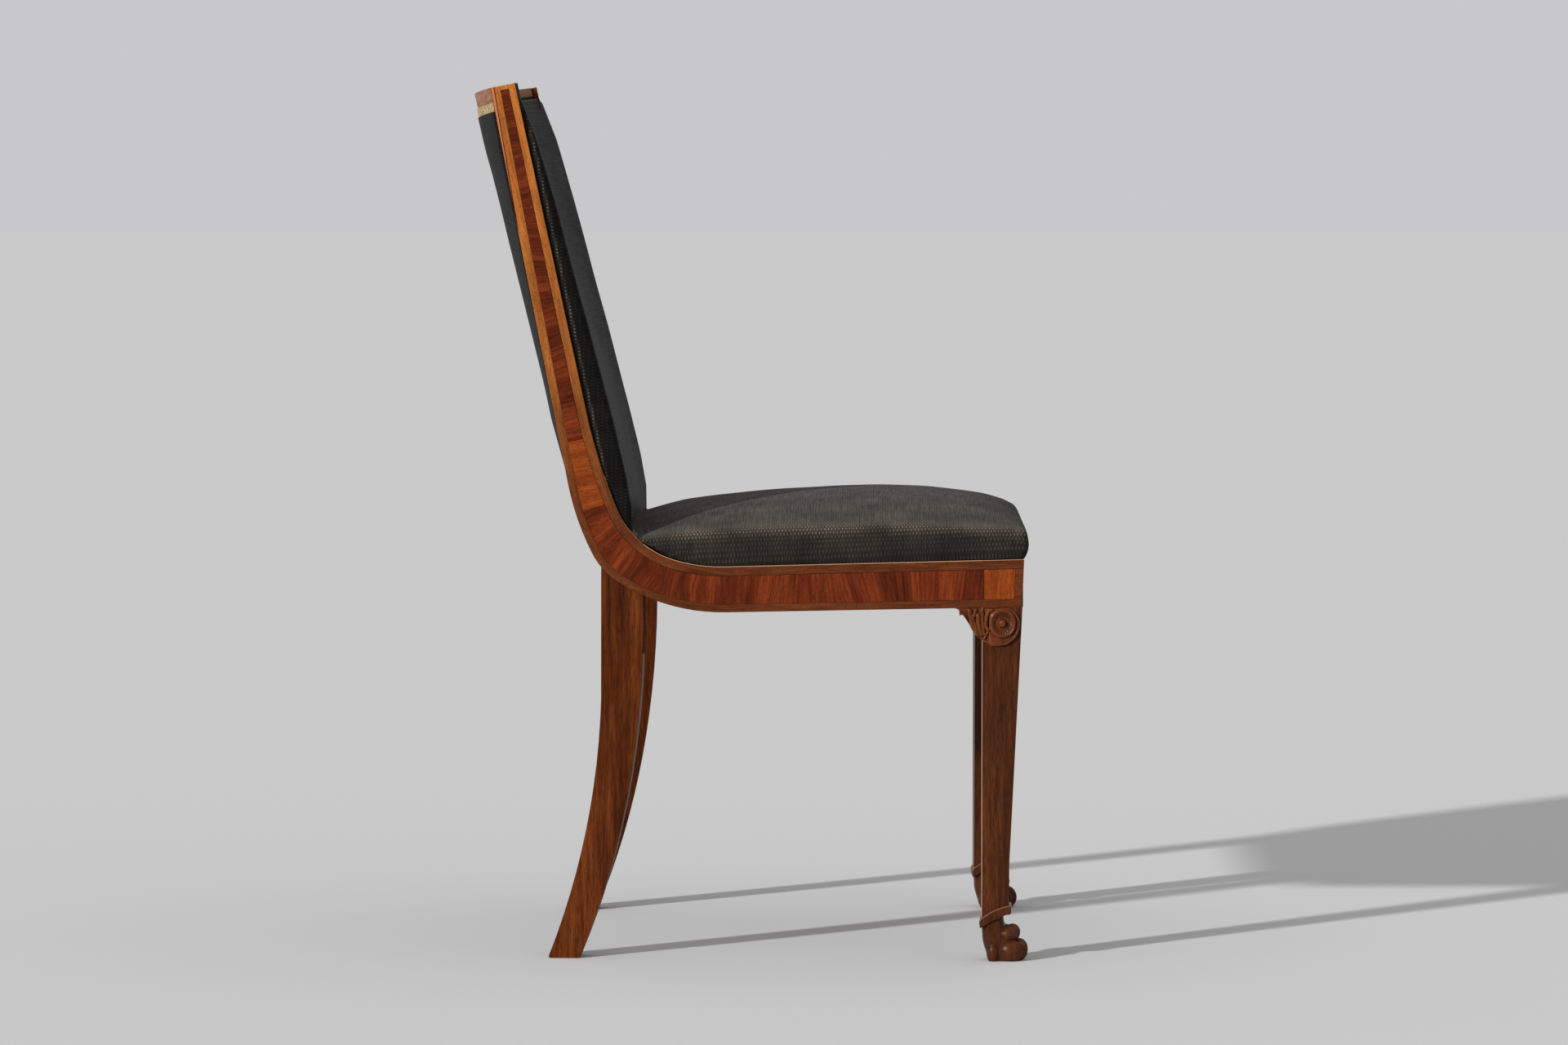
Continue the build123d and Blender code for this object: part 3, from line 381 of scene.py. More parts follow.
walnut_front = solid_wood("walnut_front_legs", front_colours, upright_grain, 0.07, 0.34)
walnut_long = solid_wood("walnut_side_rails", rear_colours, depth_grain, 0.07, 0.36)
# Pale colour on the front legs' rear outer arris: a painted highlight.
leg_arris_highlight = plain_material("painted_highlight_leg_arris", (0.44, 0.28, 0.22), 0.5)
leg_back = 0.0476
highlight_width = 0.0006
leg_arris = 0.0007
for side, way in hands:
    leg_shape = merged_copy("front_leg_" + side)
    trim_arrises(leg_shape, leg_arris, 0)
    # Faces behind this line that face outwards take the painted highlight.
    highlight_line = on_side(0.0, leg_back - highlight_width, 0.0, way)
    outward = (on_side(1.0, 0.0, 0.0, way) - on_side(0.0, 0.0, 0.0, way)).normalized()
    rearward = (on_side(0.0, 1.0, 0.0, way) - on_side(0.0, 0.0, 0.0, way)).normalized()
    whole_leg = leg_shape.verts[:] + leg_shape.edges[:] + leg_shape.faces[:]
    bmesh.ops.bisect_plane(leg_shape, geom=whole_leg, dist=0.00001, plane_co=highlight_line, plane_no=rearward)
    leg_shape.normal_update()
    for face in leg_shape.faces:
        behind_line = (face.calc_center_median() - highlight_line).dot(rearward) > 0
        face.material_index = 1 if behind_line and face.normal.dot(outward) > 0.5 else 0
    stand_in("front_leg_" + side, "front_leg_planed_" + side, leg_shape, walnut_front, leg_arris_highlight)
    rail_shape = merged_copy("side_rail_" + side)
    lean_front(rail_shape)
    stand_in("side_rail_" + side, "side_rail_planed_" + side, rail_shape, walnut_long)

# Cross rails: the front and rear seat rails lie between the side frames on tenons, and
# the bent crest rail shows as polished wood at the top of the back.
cross_grain = (5.0, 60.0, 60.0)
walnut_wide = solid_wood("walnut_cross_rails", rear_colours, cross_grain, 0.07, 0.36)
front_rail_shape = merged_copy("front_rail")
lean_front(front_rail_shape)
stand_in("front_rail", "front_rail_planed", front_rail_shape, walnut_wide)
dress(nodes["rear_rail"], walnut_wide)
crest_colours = ((0.155, 0.074, 0.042), (0.25, 0.125, 0.074), (0.35, 0.195, 0.13))
crest_wood = solid_wood("walnut_crest", crest_colours, cross_grain, 0.02, 0.5)
planed("crest_rail", "crest_rail_planed", 0.0012, crest_wood)

# Glue blocks and the hidden back rail: plain beech, planed and never polished, rubbed
# into the corners of the seat frame with glue.
beech_colours = ((0.24, 0.14, 0.07), (0.34, 0.21, 0.11), (0.43, 0.29, 0.16))
beech = solid_wood("beech", beech_colours, upright_grain, 0.2, 0.62)
for block in ("front_corner_block_", "rear_corner_block_"):
    for side in ("left", "right"):
        planed(block + side, block + "planed_" + side, 0.001, beech)
dress(nodes["back_rail"], beech)

# Veneers and rear posts: pieces of figured wood about a millimetre thick, glued side by side
# over rails and stiles. Their grain follows the sweep, the stile's borders grow narrower in
# front and wider behind towards its top, and a stopped chamfer runs down its rear arris.
upper_slope = 1.63
upper_bend_start = 0.3102
upper_radii = (0.163, 0.092, 0.585)
upper_turns = (18.7, 50.6, 10.13)
upper_band = 0.0095
lower_band = 0.008
stile_top_height = 0.8953
stile_depth = 0.02572
stile_growth = 0.0193
taper_drop = 0.278
front_band_top = 0.0071
rear_band_top = 0.0102
chamfer_width = 0.0042
chamfer_drop = 0.155
left_offset = 3.0
front_offset = 9.22
front_stretch = 0.9
stile_heading = radians(sum(upper_turns) - upper_slope)


def along_frame(distance, height):
    """Place along the frame's upper edge, depth below it, and the edge's heading there."""
    heading = -radians(upper_slope)
    start = Vector((upper_bend_start, rail_top_height - upper_bend_start * tan(radians(upper_slope))))
    forward = Vector((cos(heading), sin(heading)))
    below = Vector((sin(heading), -cos(heading)))
    point = Vector((distance, height)) - start
    if point.dot(forward) < 0:
        return upper_bend_start + point.dot(forward), point.dot(below), heading
    run = upper_bend_start
    for radius, turn in zip(upper_radii, upper_turns):
        below = Vector((sin(heading), -cos(heading)))
        centre = start - below * radius
        spoke = Vector((distance, height)) - centre
        swing = atan2(below.x * spoke.y - below.y * spoke.x, below.dot(spoke))
        if swing < radians(turn):
            return run + radius * swing, spoke.length - radius, heading + swing
        run += radius * radians(turn)
        heading += radians(turn)
        start = centre + Vector((sin(heading), -cos(heading))) * radius
    forward = Vector((cos(heading), sin(heading)))
    below = Vector((sin(heading), -cos(heading)))
    point = Vector((distance, height)) - start
    return run + point.dot(forward), point.dot(below), heading


def on_stile(outward, drop, depth, way):
    """World place of a point of a stile, by its drop below the top and depth behind the front."""
    distance = stile_top_distance - cos(stile_heading) * drop + sin(stile_heading) * depth
    height = stile_top_height - sin(stile_heading) * drop - cos(stile_heading) * depth
    return on_side(outward, distance, height, way)


def off_side(point):
    """Distances out, back and up of a world point, measured on the left frame."""
    return ground_line @ Vector((abs(point.x), point.y, point.z))


def frame_place(point):
    """Run along the frame, depth and heading of a world point."""
    local = off_side(point)
    return along_frame(local.y, local.z)


def front_place(point):
    """Run across the front and depth of a world point."""
    return point.x * front_stretch, rail_top_height - point.z


def lay_veneer(shape, place, offset):
    """Write each corner's run and depth into the shape's UV map."""
    layer = shape.loops.layers.uv.new("sweep")
    for face in shape.faces:
        for loop in face.loops:
            run, depth = place(loop.vert.co)[:2]
            loop[layer].uv = (run + offset, depth)


def taper_bands(shape, way):
    """Shift the lines between border and core along the stile."""
    stile_run = along_frame(stile_top_distance, stile_top_height)[0]
    for vertex in shape.verts:
        local = off_side(vertex.co)
        run, depth, heading = along_frame(local.y, local.z)
        rise = 1 - (stile_run - run) / taper_drop
        if rise <= 0:
            continue
        whole = stile_depth + stile_growth * (stile_run - run)
        front_line = upper_band + (front_band_top - upper_band) * rise
        rear_line = whole - lower_band - (rear_band_top - lower_band) * rise
        old_rear = whole - lower_band
        if depth <= upper_band:
            moved = depth * front_line / upper_band
        elif depth <= old_rear:
            moved = front_line + (depth - upper_band) * (rear_line - front_line) / (old_rear - upper_band)
        else:
            moved = whole - (whole - depth) * (whole - rear_line) / (whole - old_rear)
        shift = moved - depth
        vertex.co = on_side(local.x, local.y + sin(heading) * shift, local.z - cos(heading) * shift, way)


def recolour(piece, material, chosen):
    """Give one more material to the faces whose normals are chosen."""
    piece.data.materials.append(material)
    for face in piece.data.polygons:
        if chosen(face.normal):
            face.material_index = len(piece.data.materials) - 1


def stop_chamfer(piece, way, painted_light_and_marks):
    """Cut the stopped chamfer off the rear arris of a stile, widest at the top, and give its faces the given
    material: on the posts a pale painted highlight.
    """
    cutter_shape = bmesh.new()
    margin = 0.004
    top = -chamfer_drop * margin / chamfer_width
    corners = []
    for drop, width in ((top, chamfer_width + margin), (chamfer_drop, 0.0)):
        depth = stile_depth + stile_growth * drop
        corners.append(on_stile(0.0, drop, depth - width, way))
        if width:
            corners.append(on_stile(-width, drop, depth, way))
            corners.append(on_stile(margin, drop, depth + margin, way))
    foot = on_stile(margin, chamfer_drop + 0.0004, stile_depth + stile_growth * chamfer_drop + margin, way)
    rim = [cutter_shape.verts.new(corner) for corner in (*corners, foot)]
    for face in ((0, 1, 2), (0, 3, 1), (1, 3, 4), (1, 4, 2), (2, 4, 0), (0, 4, 3)):
        cutter_shape.faces.new([rim[index] for index in face])
    face_out(cutter_shape)
    cutter = shaped_object("chamfer_cut", cutter_shape)
    cut = piece.modifiers.new("chamfer", "BOOLEAN")
    cut.operation = "DIFFERENCE"
    cut.solver = "EXACT"
    cut.object = cutter
    bake(piece)
    bpy.data.objects.remove(cutter)
    slope = (corners[1] - corners[0]).cross(corners[3] - corners[0]).normalized()
    recolour(piece, painted_light_and_marks, lambda normal: abs(normal.dot(slope)) > 0.995)


def bake(piece):
    """Apply a piece's modifiers to its mesh."""
    bpy.context.view_layer.update()
    whole = bpy.data.meshes.new_from_object(piece.evaluated_get(bpy.context.evaluated_depsgraph_get()))
    piece.modifiers.clear()
    piece.data = whole


def map_place(tree, layer):
    """Place in a UV map, whole and as its two coordinates."""
    place = tree.nodes.new("ShaderNodeUVMap")
    place.uv_map = layer
    parts = tree.nodes.new("ShaderNodeSeparateXYZ")
    feed(parts, Vector=place.outputs["UV"])
    return place.outputs["UV"], parts.outputs["X"], parts.outputs["Y"]


def crossband_wood(name, colours, piece_length, roughness, middle=0.5):
    """Veneer laid in short pieces with the grain straight across the band."""
    wood, tree, shader = new_material(name, 0.07)
    place, run, depth = map_place(tree, "sweep")
    skew = stretched_noise(tree, place, (9.0, 0.0, 0.0), 0.0, 0.5)
    lean = times(tree, join(tree, "SUBTRACT", skew, 0.5), depth)
    leant = plus(tree, run, times(tree, lean, 1.2))
    bent = tree.nodes.new("ShaderNodeCombineXYZ")
    feed(bent, X=leant, Y=depth)
    leaf = tree.nodes.new("ShaderNodeTexVoronoi")
    leaf.voronoi_dimensions = "1D"
    feed(leaf, Scale=1.0 / piece_length, W=leant)
    tint = tree.nodes.new("ShaderNodeSeparateColor")
    feed(tint, Color=leaf.outputs["Color"])
    figure = stretched_noise(tree, bent.outputs[0], (70.0, 10.0, 1.0), 3.0, 0.55)
    streaks = stretched_noise(tree, bent.outputs[0], (420.0, 22.0, 1.0), 4.0, 0.6)
    pores = stretched_noise(tree, bent.outputs[0], (1500.0, 160.0, 1.0), 2.0, 0.5)
    tone = times(tree, tint.outputs["Red"], 0.12)
    tone = plus(tree, grain_tone(tree, figure, streaks, 0.45), tone)
    colour = colour_ramp(tree, colours, spread(tree, tone, 0.37, 0.68, 0.0, 1.0), middle)
    colour = darken(tree, colour, spread(tree, pores, 0.36, 0.48, 0.6, 1.0))
    polish(tree, shader, colour, streaks, roughness + 0.06, roughness - 0.04)
    raise_surface(tree, streaks, 0.1, 0.0001)
    return wood


def border_wood(name, upright_colours, level_colours, roughness):
    """Veneer with the grain along the band, golden on the stiles and browner on the rails."""
    wood, tree, shader = new_material(name, 0.07)
    place, run, depth = map_place(tree, "sweep")
    figure = stretched_noise(tree, place, (14.0, 110.0, 1.0), 3.0, 0.5)
    streaks = stretched_noise(tree, place, (45.0, 700.0, 1.0), 4.0, 0.6)
    flecks = stretched_noise(tree, place, (260.0, 900.0, 1.0), 2.0, 0.5)
    tone = spread(tree, grain_tone(tree, figure, streaks, 0.5), 0.35, 0.68, 0.0, 1.0)
    change = spread(tree, join(tree, "MODULO", run, left_offset), 0.42, 0.78, 0.0, 1.0)
    level, upright = (colour_ramp(tree, colours, tone) for colours in (level_colours, upright_colours))
    colour = blend(tree, "MIX", change, level, upright)
    colour = darken(tree, colour, spread(tree, flecks, 0.34, 0.46, 0.62, 1.0))
    polish(tree, shader, colour, streaks, roughness + 0.06, roughness - 0.04)
    raise_surface(tree, streaks, 0.1, 0.0001)
    return wood


golden_colours = ((0.22, 0.062, 0.012), (0.36, 0.112, 0.021), (0.5, 0.175, 0.038))
russet_colours = ((0.048, 0.0115, 0.0032), (0.094, 0.0235, 0.0066), (0.15, 0.042, 0.012))
rosewood_colours = ((0.042, 0.006, 0.0016), (0.098, 0.015, 0.0034), (0.21, 0.037, 0.0075))
light_colours = ((0.115, 0.02, 0.0032), (0.2, 0.037, 0.0052), (0.31, 0.07, 0.012))
border = border_wood("golden_border_veneer", golden_colours, russet_colours, 0.32)
rosewood = crossband_wood("dark_crossband_veneer", rosewood_colours, 0.031, 0.3, middle=0.45)
satin = crossband_wood("light_panel_veneer", light_colours, 0.09, 0.32)
joint_line = plain_material("dark_glue_line", (0.022, 0.006, 0.0025), 0.6)
# Pale colour on the upper outer arris of the upper border veneers: a painted highlight.
rail_arris_highlight = plain_material("painted_highlight_rail_arris", (0.5, 0.285, 0.175), 0.5)
# Pale colour on the posts' stopped chamfers: a painted highlight where the lamp grazes the rear arris.
chamfer_highlight = plain_material("painted_highlight_chamfer", (0.36, 0.12, 0.045), 0.45)
# Darker colour on the posts' front faces: painted shade.
stile_front_shade = plain_material("painted_shade_stile_front", (0.05, 0.018, 0.009), 0.95)
walnut = solid_wood("walnut_rear_posts", rear_colours, upright_grain, 0.03, 0.4)
highlit_edge = 0.0007
leaf_edge = 0.0003
post_arris = 0.0009
veneer_woods = {
    "upper_edge_veneer_": border,
    "lower_edge_veneer_": border,
    "stile_top_veneer_": border,
    "rail_end_veneer_": border,
    "stile_crossband_": rosewood,
    "rail_crossband_": rosewood,
    "stile_light_panel_": satin,
    "rail_light_square_": satin,
}
for side, way in hands:
    for start, wood in veneer_woods.items():
        leaf_shape = merged_copy(start + side)
        trim_arrises(leaf_shape, highlit_edge if start == "upper_edge_veneer_" else leaf_edge, 1)
        leaf_shape.normal_update()
        # On the border veneers only the upper outer arris keeps the painted highlight; the other trimmed
        # faces take the veneer's own wood.
        for face in leaf_shape.faces:
            upper_arris = start == "upper_edge_veneer_" and face.normal.z > 0.3 and abs(face.normal.x) > 0.3
            if wood is border and not upper_arris:
                face.material_index = 0
        lay_veneer(leaf_shape, frame_place, 0.0 if side == "right" else left_offset)
        taper_bands(leaf_shape, way)
        lean_front(leaf_shape)
        leaf = add_piece(start + side + "_laid", leaf_shape)
        dress(leaf, wood, rail_arris_highlight if wood is border else joint_line)
        if start in ("lower_edge_veneer_", "stile_top_veneer_"):
            stop_chamfer(leaf, way, joint_line)
        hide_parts(start + side)
    post_shape = merged_copy("rear_post_" + side)
    trim_arrises(post_shape, post_arris)
    post = add_piece("rear_post_planed_" + side, post_shape)
    dress(post, walnut)
    stop_chamfer(post, way, chamfer_highlight)
    forward = (on_stile(0.0, 0.0, -1.0, way) - on_stile(0.0, 0.0, 0.0, way)).normalized()
    recolour(post, stile_front_shade, lambda normal: normal.dot(forward) > 0.97)
    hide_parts("rear_post_" + side)
for name, wood in (
    ("front_upper_veneer", border),
    ("front_lower_veneer", border),
    ("front_crossband", rosewood),
    ("front_light_square_left", satin),
    ("front_light_square_right", satin),
):
    leaf_shape = merged_copy(name)
    trim_arrises(leaf_shape, leaf_edge, 0 if wood is border else 1)
    lay_veneer(leaf_shape, front_place, front_offset)
    lean_front(leaf_shape)
    stand_in(name, name + "_laid", leaf_shape, wood, joint_line)

# Ankle collars: slanting bands carved round the foot of each front leg, a shade redder than the leg, with
# rounded edges and a painted highlight along their upper arrises.
carved_grain = (50.0, 50.0, 8.0)
foot_colours = ((0.024, 0.006, 0.0019), (0.056, 0.0152, 0.0048), (0.098, 0.029, 0.0095))
carved_foot = solid_wood("carved_walnut_feet", foot_colours, carved_grain, 0.09, 0.34, painted_light_and_marks=True)
collar_arris_highlight = plain_material("painted_highlight_collar_arris", (0.15, 0.066, 0.036), 0.4)
foot_centre = -0.015
collar_half = 0.0175
collar_edge = 0.001
collar_outline = (
    (0.0498, 0.0415), (0.0472, 0.0452), (0.0359, 0.0521), (0.0274, 0.0555), (0.0199, 0.0577),
    (0.0173, 0.0568), (0.0173, 0.0486), (0.0232, 0.0478), (0.0274, 0.0452), (0.0359, 0.0414),
    (0.0492, 0.034),
)


def mark_hollows(shape, rounds, scale):
    """Write into each point how deep it lies in a carved hollow: 0 on ridges, 1 in grooves."""
    layer = shape.verts.layers.float.new("hollow")
    shape.verts.ensure_lookup_table()
    shape.verts.index_update()
    shape.normal_update()
    places = [vertex.co.copy() for vertex in shape.verts]
    ring = [[edge.other_vert(vertex).index for edge in vertex.link_edges] for vertex in shape.verts]
    for turn in range(rounds):
        places = [sum((places[index] for index in near), Vector()) / max(1, len(near)) for near in ring]
    for vertex, smooth in zip(shape.verts, places):
        vertex[layer] = clamp(0.5 + (smooth - vertex.co).dot(vertex.normal) / scale)


def smooth_shading(piece):
    """Shade a carved or stuffed piece without facets."""
    piece.data.polygons.foreach_set("use_smooth", [True] * len(piece.data.polygons))


def extruded(shape, outline, near, far, way):
    """Closed block between two outward distances, over an outline on the side of the chair."""
    rim = [shape.verts.new(on_side(near, *point, way)) for point in outline]
    end = shape.faces.new(rim)
    made = bmesh.ops.extrude_face_region(shape, geom=[end])
    moved = [item for item in made["geom"] if isinstance(item, bmesh.types.BMVert)]
    step = on_side(far, *outline[0], way) - on_side(near, *outline[0], way)
    bmesh.ops.translate(shape, verts=moved, vec=step)


for side, way in hands:
    collar_shape = bmesh.new()
    extruded(collar_shape, collar_outline, foot_centre + collar_half, foot_centre - collar_half, way)
    face_out(collar_shape)
    rims = [edge for edge in collar_shape.edges if edge.calc_face_angle() > 0.5]
    ease(collar_shape, rims, collar_edge, 1)
    collar_shape.normal_update()
    # Only the upward-facing arris faces keep the painted highlight.
    for face in collar_shape.faces:
        if face.material_index == 1 and (face.normal.z < 0.3 or abs(face.normal.x) < 0.2):
            face.material_index = 0
    mark_hollows(collar_shape, 1, 0.006)
    stand_in("ankle_collar_" + side, "ankle_collar_carved_" + side, collar_shape, carved_foot, collar_arris_highlight)

# Paw feet: two front toes, two outer toes and a pair of heel lobes, with knuckles above the
# toes. The lumps are grown together and smoothed, as a carver rounds one into the next.
paw_sections = (
    (0.0, 0.013, 0.0402, 0.015), (0.01, 0.012, 0.0436, 0.017), (0.02, 0.014, 0.0466, 0.0165),
    (0.03, 0.02, 0.0472, 0.0155), (0.038, 0.0245, 0.0482, 0.015), (0.046, 0.0255, 0.0486, 0.015),
)
paw_heights, *paw_sizes = zip(*paw_sections)
paw_lumps = (
    ((0.0105, 0.0176, 0.01), (0.009, 0.0122, 0.0118)),
    ((0.0052, 0.009, 0.0108), (0.0056, 0.0088, 0.011)),
    ((0.0092, 0.0202, 0.0272), (0.0085, 0.0096, 0.0078)),
    ((0.006, 0.03, 0.0262), (0.01, 0.0115, 0.009)),
    ((0.005, 0.016, 0.0284), (0.0058, 0.008, 0.0083)),
    ((0.005, 0.024, 0.0285), (0.006, 0.009, 0.008)),
    ((0.0112, 0.0352, 0.0085), (0.0078, 0.0072, 0.0115)),
)
paw_squareness = 3.2
paw_voxel = 0.0007
paw_cuts = 14


def part_way(first, last, share):
    """Value a share of the way from the first to the last."""
    return first + (last - first) * share


def between(stations, values, place):
    """Value at a place among stations, on straight lines from one to the next."""
    if place <= stations[0]:
        return values[0]
    for index in range(len(stations) - 1):
        if place <= stations[index + 1]:
            share = (place - stations[index]) / (stations[index + 1] - stations[index])
            return part_way(values[index], values[index + 1], share)
    return values[-1]


def fine_cube(size, cuts):
    """Cube with finely divided faces, to be shaped point by point."""
    shape = bmesh.new()
    bmesh.ops.create_cube(shape, size=size)
    bmesh.ops.subdivide_edges(shape, edges=shape.edges[:], cuts=cuts, use_grid_fill=True)
    return shape


def soften(shape, turns, floor_line):
    """Smooth the points of a shape that lie above its floor line."""
    for turn in range(turns):
        above = [vertex for vertex in shape.verts if vertex.co.z > floor_line(vertex.co)]
        bmesh.ops.smooth_vert(
            shape, verts=above, factor=0.5, use_axis_x=True, use_axis_y=True, use_axis_z=True
        )


def squared_ring(x, y, power):
    """Point of a square drawn in to a superellipse of that power."""
    reach = max(abs(x), abs(y))
    if reach == 0:
        return 0.0, 0.0
    turn = atan2(y, x)
    grow = (abs(cos(turn)) ** power + abs(sin(turn)) ** power) ** (-1 / power)
    return reach * grow * cos(turn), reach * grow * sin(turn)


for side, way in hands:
    paw_shape = fine_cube(2.0, paw_cuts)
    for vertex in paw_shape.verts:
        x, y = squared_ring(vertex.co.x, vertex.co.y, paw_squareness)
        height = part_way(paw_heights[0], paw_heights[-1], (vertex.co.z + 1) / 2)
        near, far, half = (between(paw_heights, sizes, height) for sizes in paw_sizes)
        vertex.co = (foot_centre + half * x, part_way(near, far, (y + 1) / 2), height)
    for (across_foot, distance, height), radii in paw_lumps:
        for hand in (-1, 1):
            lump = Matrix.Translation((foot_centre + hand * across_foot, distance, height))
            lump = lump @ Matrix.Diagonal((*radii, 1.0))
            bmesh.ops.create_uvsphere(paw_shape, u_segments=28, v_segments=20, radius=1.0, matrix=lump)
    for vertex in paw_shape.verts:
        vertex.co = on_side(*vertex.co, way)
    face_out(paw_shape)
    paw = add_piece("paw_carved_" + side, paw_shape)
    grow = paw.modifiers.new("grown_together", "REMESH")
    grow.mode = "VOXEL"
    grow.voxel_size = paw_voxel
    bake(paw)
    paw_shape = bmesh.new()
    paw_shape.from_mesh(paw.data)
    soften(paw_shape, 2, lambda point: -1.0)
    for vertex in paw_shape.verts:
        vertex.co.z = max(0.0, vertex.co.z)
    mark_hollows(paw_shape, 7, 0.0016)
    paw_shape.to_mesh(paw.data)
    paw_shape.free()
    smooth_shading(paw)
    dress(paw, carved_foot)
    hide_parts("paw_foot_" + side)

# Scroll brackets: a volute round the rosette whose tail runs back under the rail as a spray
# of leaf lobes, tied at the tip. The relief stands on the leg and a block fills in behind it.
scroll_outline = (
    (0.0734, 0.36123), (0.059, 0.3613), (0.045, 0.3613), (0.03116, 0.36123), (0.02478, 0.36219),
    (0.01841, 0.3607), (0.01309, 0.35698), (0.00964, 0.35167), (0.00858, 0.34635), (0.00937, 0.34051),
    (0.01203, 0.33413), (0.01681, 0.32829), (0.02372, 0.32404), (0.03169, 0.32287), (0.03966, 0.32404),
    (0.04498, 0.32722), (0.04816, 0.32961), (0.05241, 0.33307), (0.0572, 0.33891), (0.06092, 0.34582),
    (0.06464, 0.35167), (0.06729, 0.35485), (0.06942, 0.35406), (0.07048, 0.35485), (0.07101, 0.35964),
)
scroll_ridges = (
    (0.0031, 0.0048, (0.0604, 0.3596), (0.0572, 0.3442), (0.0524, 0.3347)),
    (0.0022, 0.004, (0.0535, 0.3612), (0.0545, 0.3564), (0.0567, 0.3517), (0.0524, 0.3373)),
    (0.0029, 0.0047, (0.0514, 0.3543), (0.0508, 0.3453), (0.0482, 0.3352)),
    (0.0023, 0.0043, (0.0472, 0.3591), (0.0468, 0.3479), (0.0455, 0.3352)),
    (
        0.0024, 0.0044,
        (0.0375, 0.3602), (0.0397, 0.3607), (0.0429, 0.3533), (0.0439, 0.3437), (0.0413, 0.3394),
    ),
    (0.0022, 0.004, (0.0705, 0.358), (0.066, 0.354), (0.0628, 0.347)),
    (
        0.0017, 0.004,
        (0.045, 0.3278), (0.0317, 0.3243), (0.0221, 0.3256), (0.0136, 0.332), (0.0107, 0.3394),
        (0.0104, 0.3464),
    ),
    (0.0014, 0.0047, (0.0492, 0.3341), (0.0429, 0.3352)),
    (0.0016, 0.0042, (0.0402, 0.34), (0.045, 0.331)),
)
rosette_distance = 0.0264
rosette_height = 0.34635
scroll_slab = 0.003
scroll_leaf_slab = 0.0016
scroll_step = 0.00042
block_reach = -0.028


def rounded_line(points, steps):
    """Smooth closed line through the points."""
    line = []
    count = len(points)
    for index in range(count):
        before, start, end, after = (Vector(points[(index + shift) % count]) for shift in (-1, 0, 1, 2))
        for step in range(steps):
            t = step / steps
            curve = start * 2 + (end - before) * t + (before * 2 - start * 5 + end * 4 - after) * t ** 2
            line.append((curve + (start * 3 - before - end * 3 + after) * t ** 3) / 2)
    return line


def to_segment(point, start, end):
    """Nearest point of a straight piece of line."""
    length = (end - start).length_squared
    share = clamp((point - start).dot(end - start) / length) if length else 0.0
    return part_way(start, end, share)


def inside_line(point, line):
    """Whether a point lies inside a closed line."""
    inside = False
    for index in range(len(line)):
        a, b = line[index - 1], line[index]
        if (a.y > point.y) != (b.y > point.y) and point.x < a.x + (b.x - a.x) * (point.y - a.y) / (b.y - a.y):
            inside = not inside
    return inside


def hump(offset, width):
    """Bell-shaped rise to 1 where the offset is 0."""
    return exp(-((offset / width) ** 2))


def scroll_relief(point):
    """Height of the carving above the leg's face."""
    around = hypot((point.x - rosette_distance) / 0.95, (point.y - rosette_height) / 1.04)
    body = scroll_slab if point.x < 0.04 else scroll_leaf_slab
    body += 0.0004 * noise.noise(Vector((point.x, point.y, 0.0)) * 160.0)
    body -= 0.0012 * hump(around - 0.0152, 0.0006)
    for width, peak, *line in scroll_ridges:
        for start, end in zip(line, line[1:]):
            away = (point - to_segment(point, Vector(start), Vector(end))).length / width
            if away < 1:
                body = max(body, peak * (1 - away ** 2) ** 0.5)
    return body


carved_colours = ((0.05, 0.011, 0.003), (0.104, 0.025, 0.0064), (0.165, 0.044, 0.012))
carved = solid_wood("carved_walnut_scrolls", carved_colours, carved_grain, 0.16, 0.2, painted_light_and_marks=True)
scroll_line = rounded_line(scroll_outline, 4)
for side, way in hands:
    relief = bmesh.new()
    low, high = (Vector([pick(parts) for parts in zip(*scroll_line)]) for pick in (min, max))
    across_cells = int((high.x - low.x) / scroll_step) + 2
    up_cells = int((high.y - low.y) / scroll_step) + 2
    bmesh.ops.create_grid(relief, x_segments=across_cells, y_segments=up_cells, size=1.0)
    for vertex in relief.verts:
        vertex.co.x = part_way(low.x, high.x, (vertex.co.x + 1) / 2)
        vertex.co.y = part_way(low.y, high.y, (vertex.co.y + 1) / 2)
    outer = [face for face in relief.faces if not inside_line(face.calc_center_median().xy, scroll_line)]
    bmesh.ops.delete(relief, geom=outer, context="FACES")
    rim_verts = [vertex for vertex in relief.verts if vertex.is_boundary]
    for vertex in rim_verts:
        spans = zip(scroll_line[-1:] + scroll_line[:-1], scroll_line)
        places = [to_segment(vertex.co.xy, start, end) for start, end in spans]
        vertex.co.xy = min(places, key=lambda place: (place - vertex.co.xy).length)
    for vertex in relief.verts:
        vertex.co.z = scroll_relief(vertex.co.xy)
    for vertex in rim_verts:
        vertex.co.z -= 0.0006
    rim = [edge for edge in relief.edges if edge.is_boundary]
    made = bmesh.ops.extrude_edge_only(relief, edges=rim)
    foot_verts = [item for item in made["geom"] if isinstance(item, bmesh.types.BMVert)]
    foot_edges = [item for item in made["geom"] if isinstance(item, bmesh.types.BMEdge) and item.is_boundary]
    for vertex in foot_verts:
        vertex.co.z = -0.0002
    bmesh.ops.holes_fill(relief, edges=foot_edges)
    for vertex in relief.verts:
        vertex.co = on_side(vertex.co.z, vertex.co.x, vertex.co.y, way)
    behind = [point for point in scroll_line if point.x > leg_back]
    extruded(relief, behind, 0.0004, block_reach, way)
    bmesh.ops.remove_doubles(relief, verts=relief.verts, dist=0.000002)
    face_out(relief)
    mark_hollows(relief, 3, 0.0017)
    smooth_shading(stand_in("scroll_bracket_" + side, "scroll_carved_" + side, relief, carved))

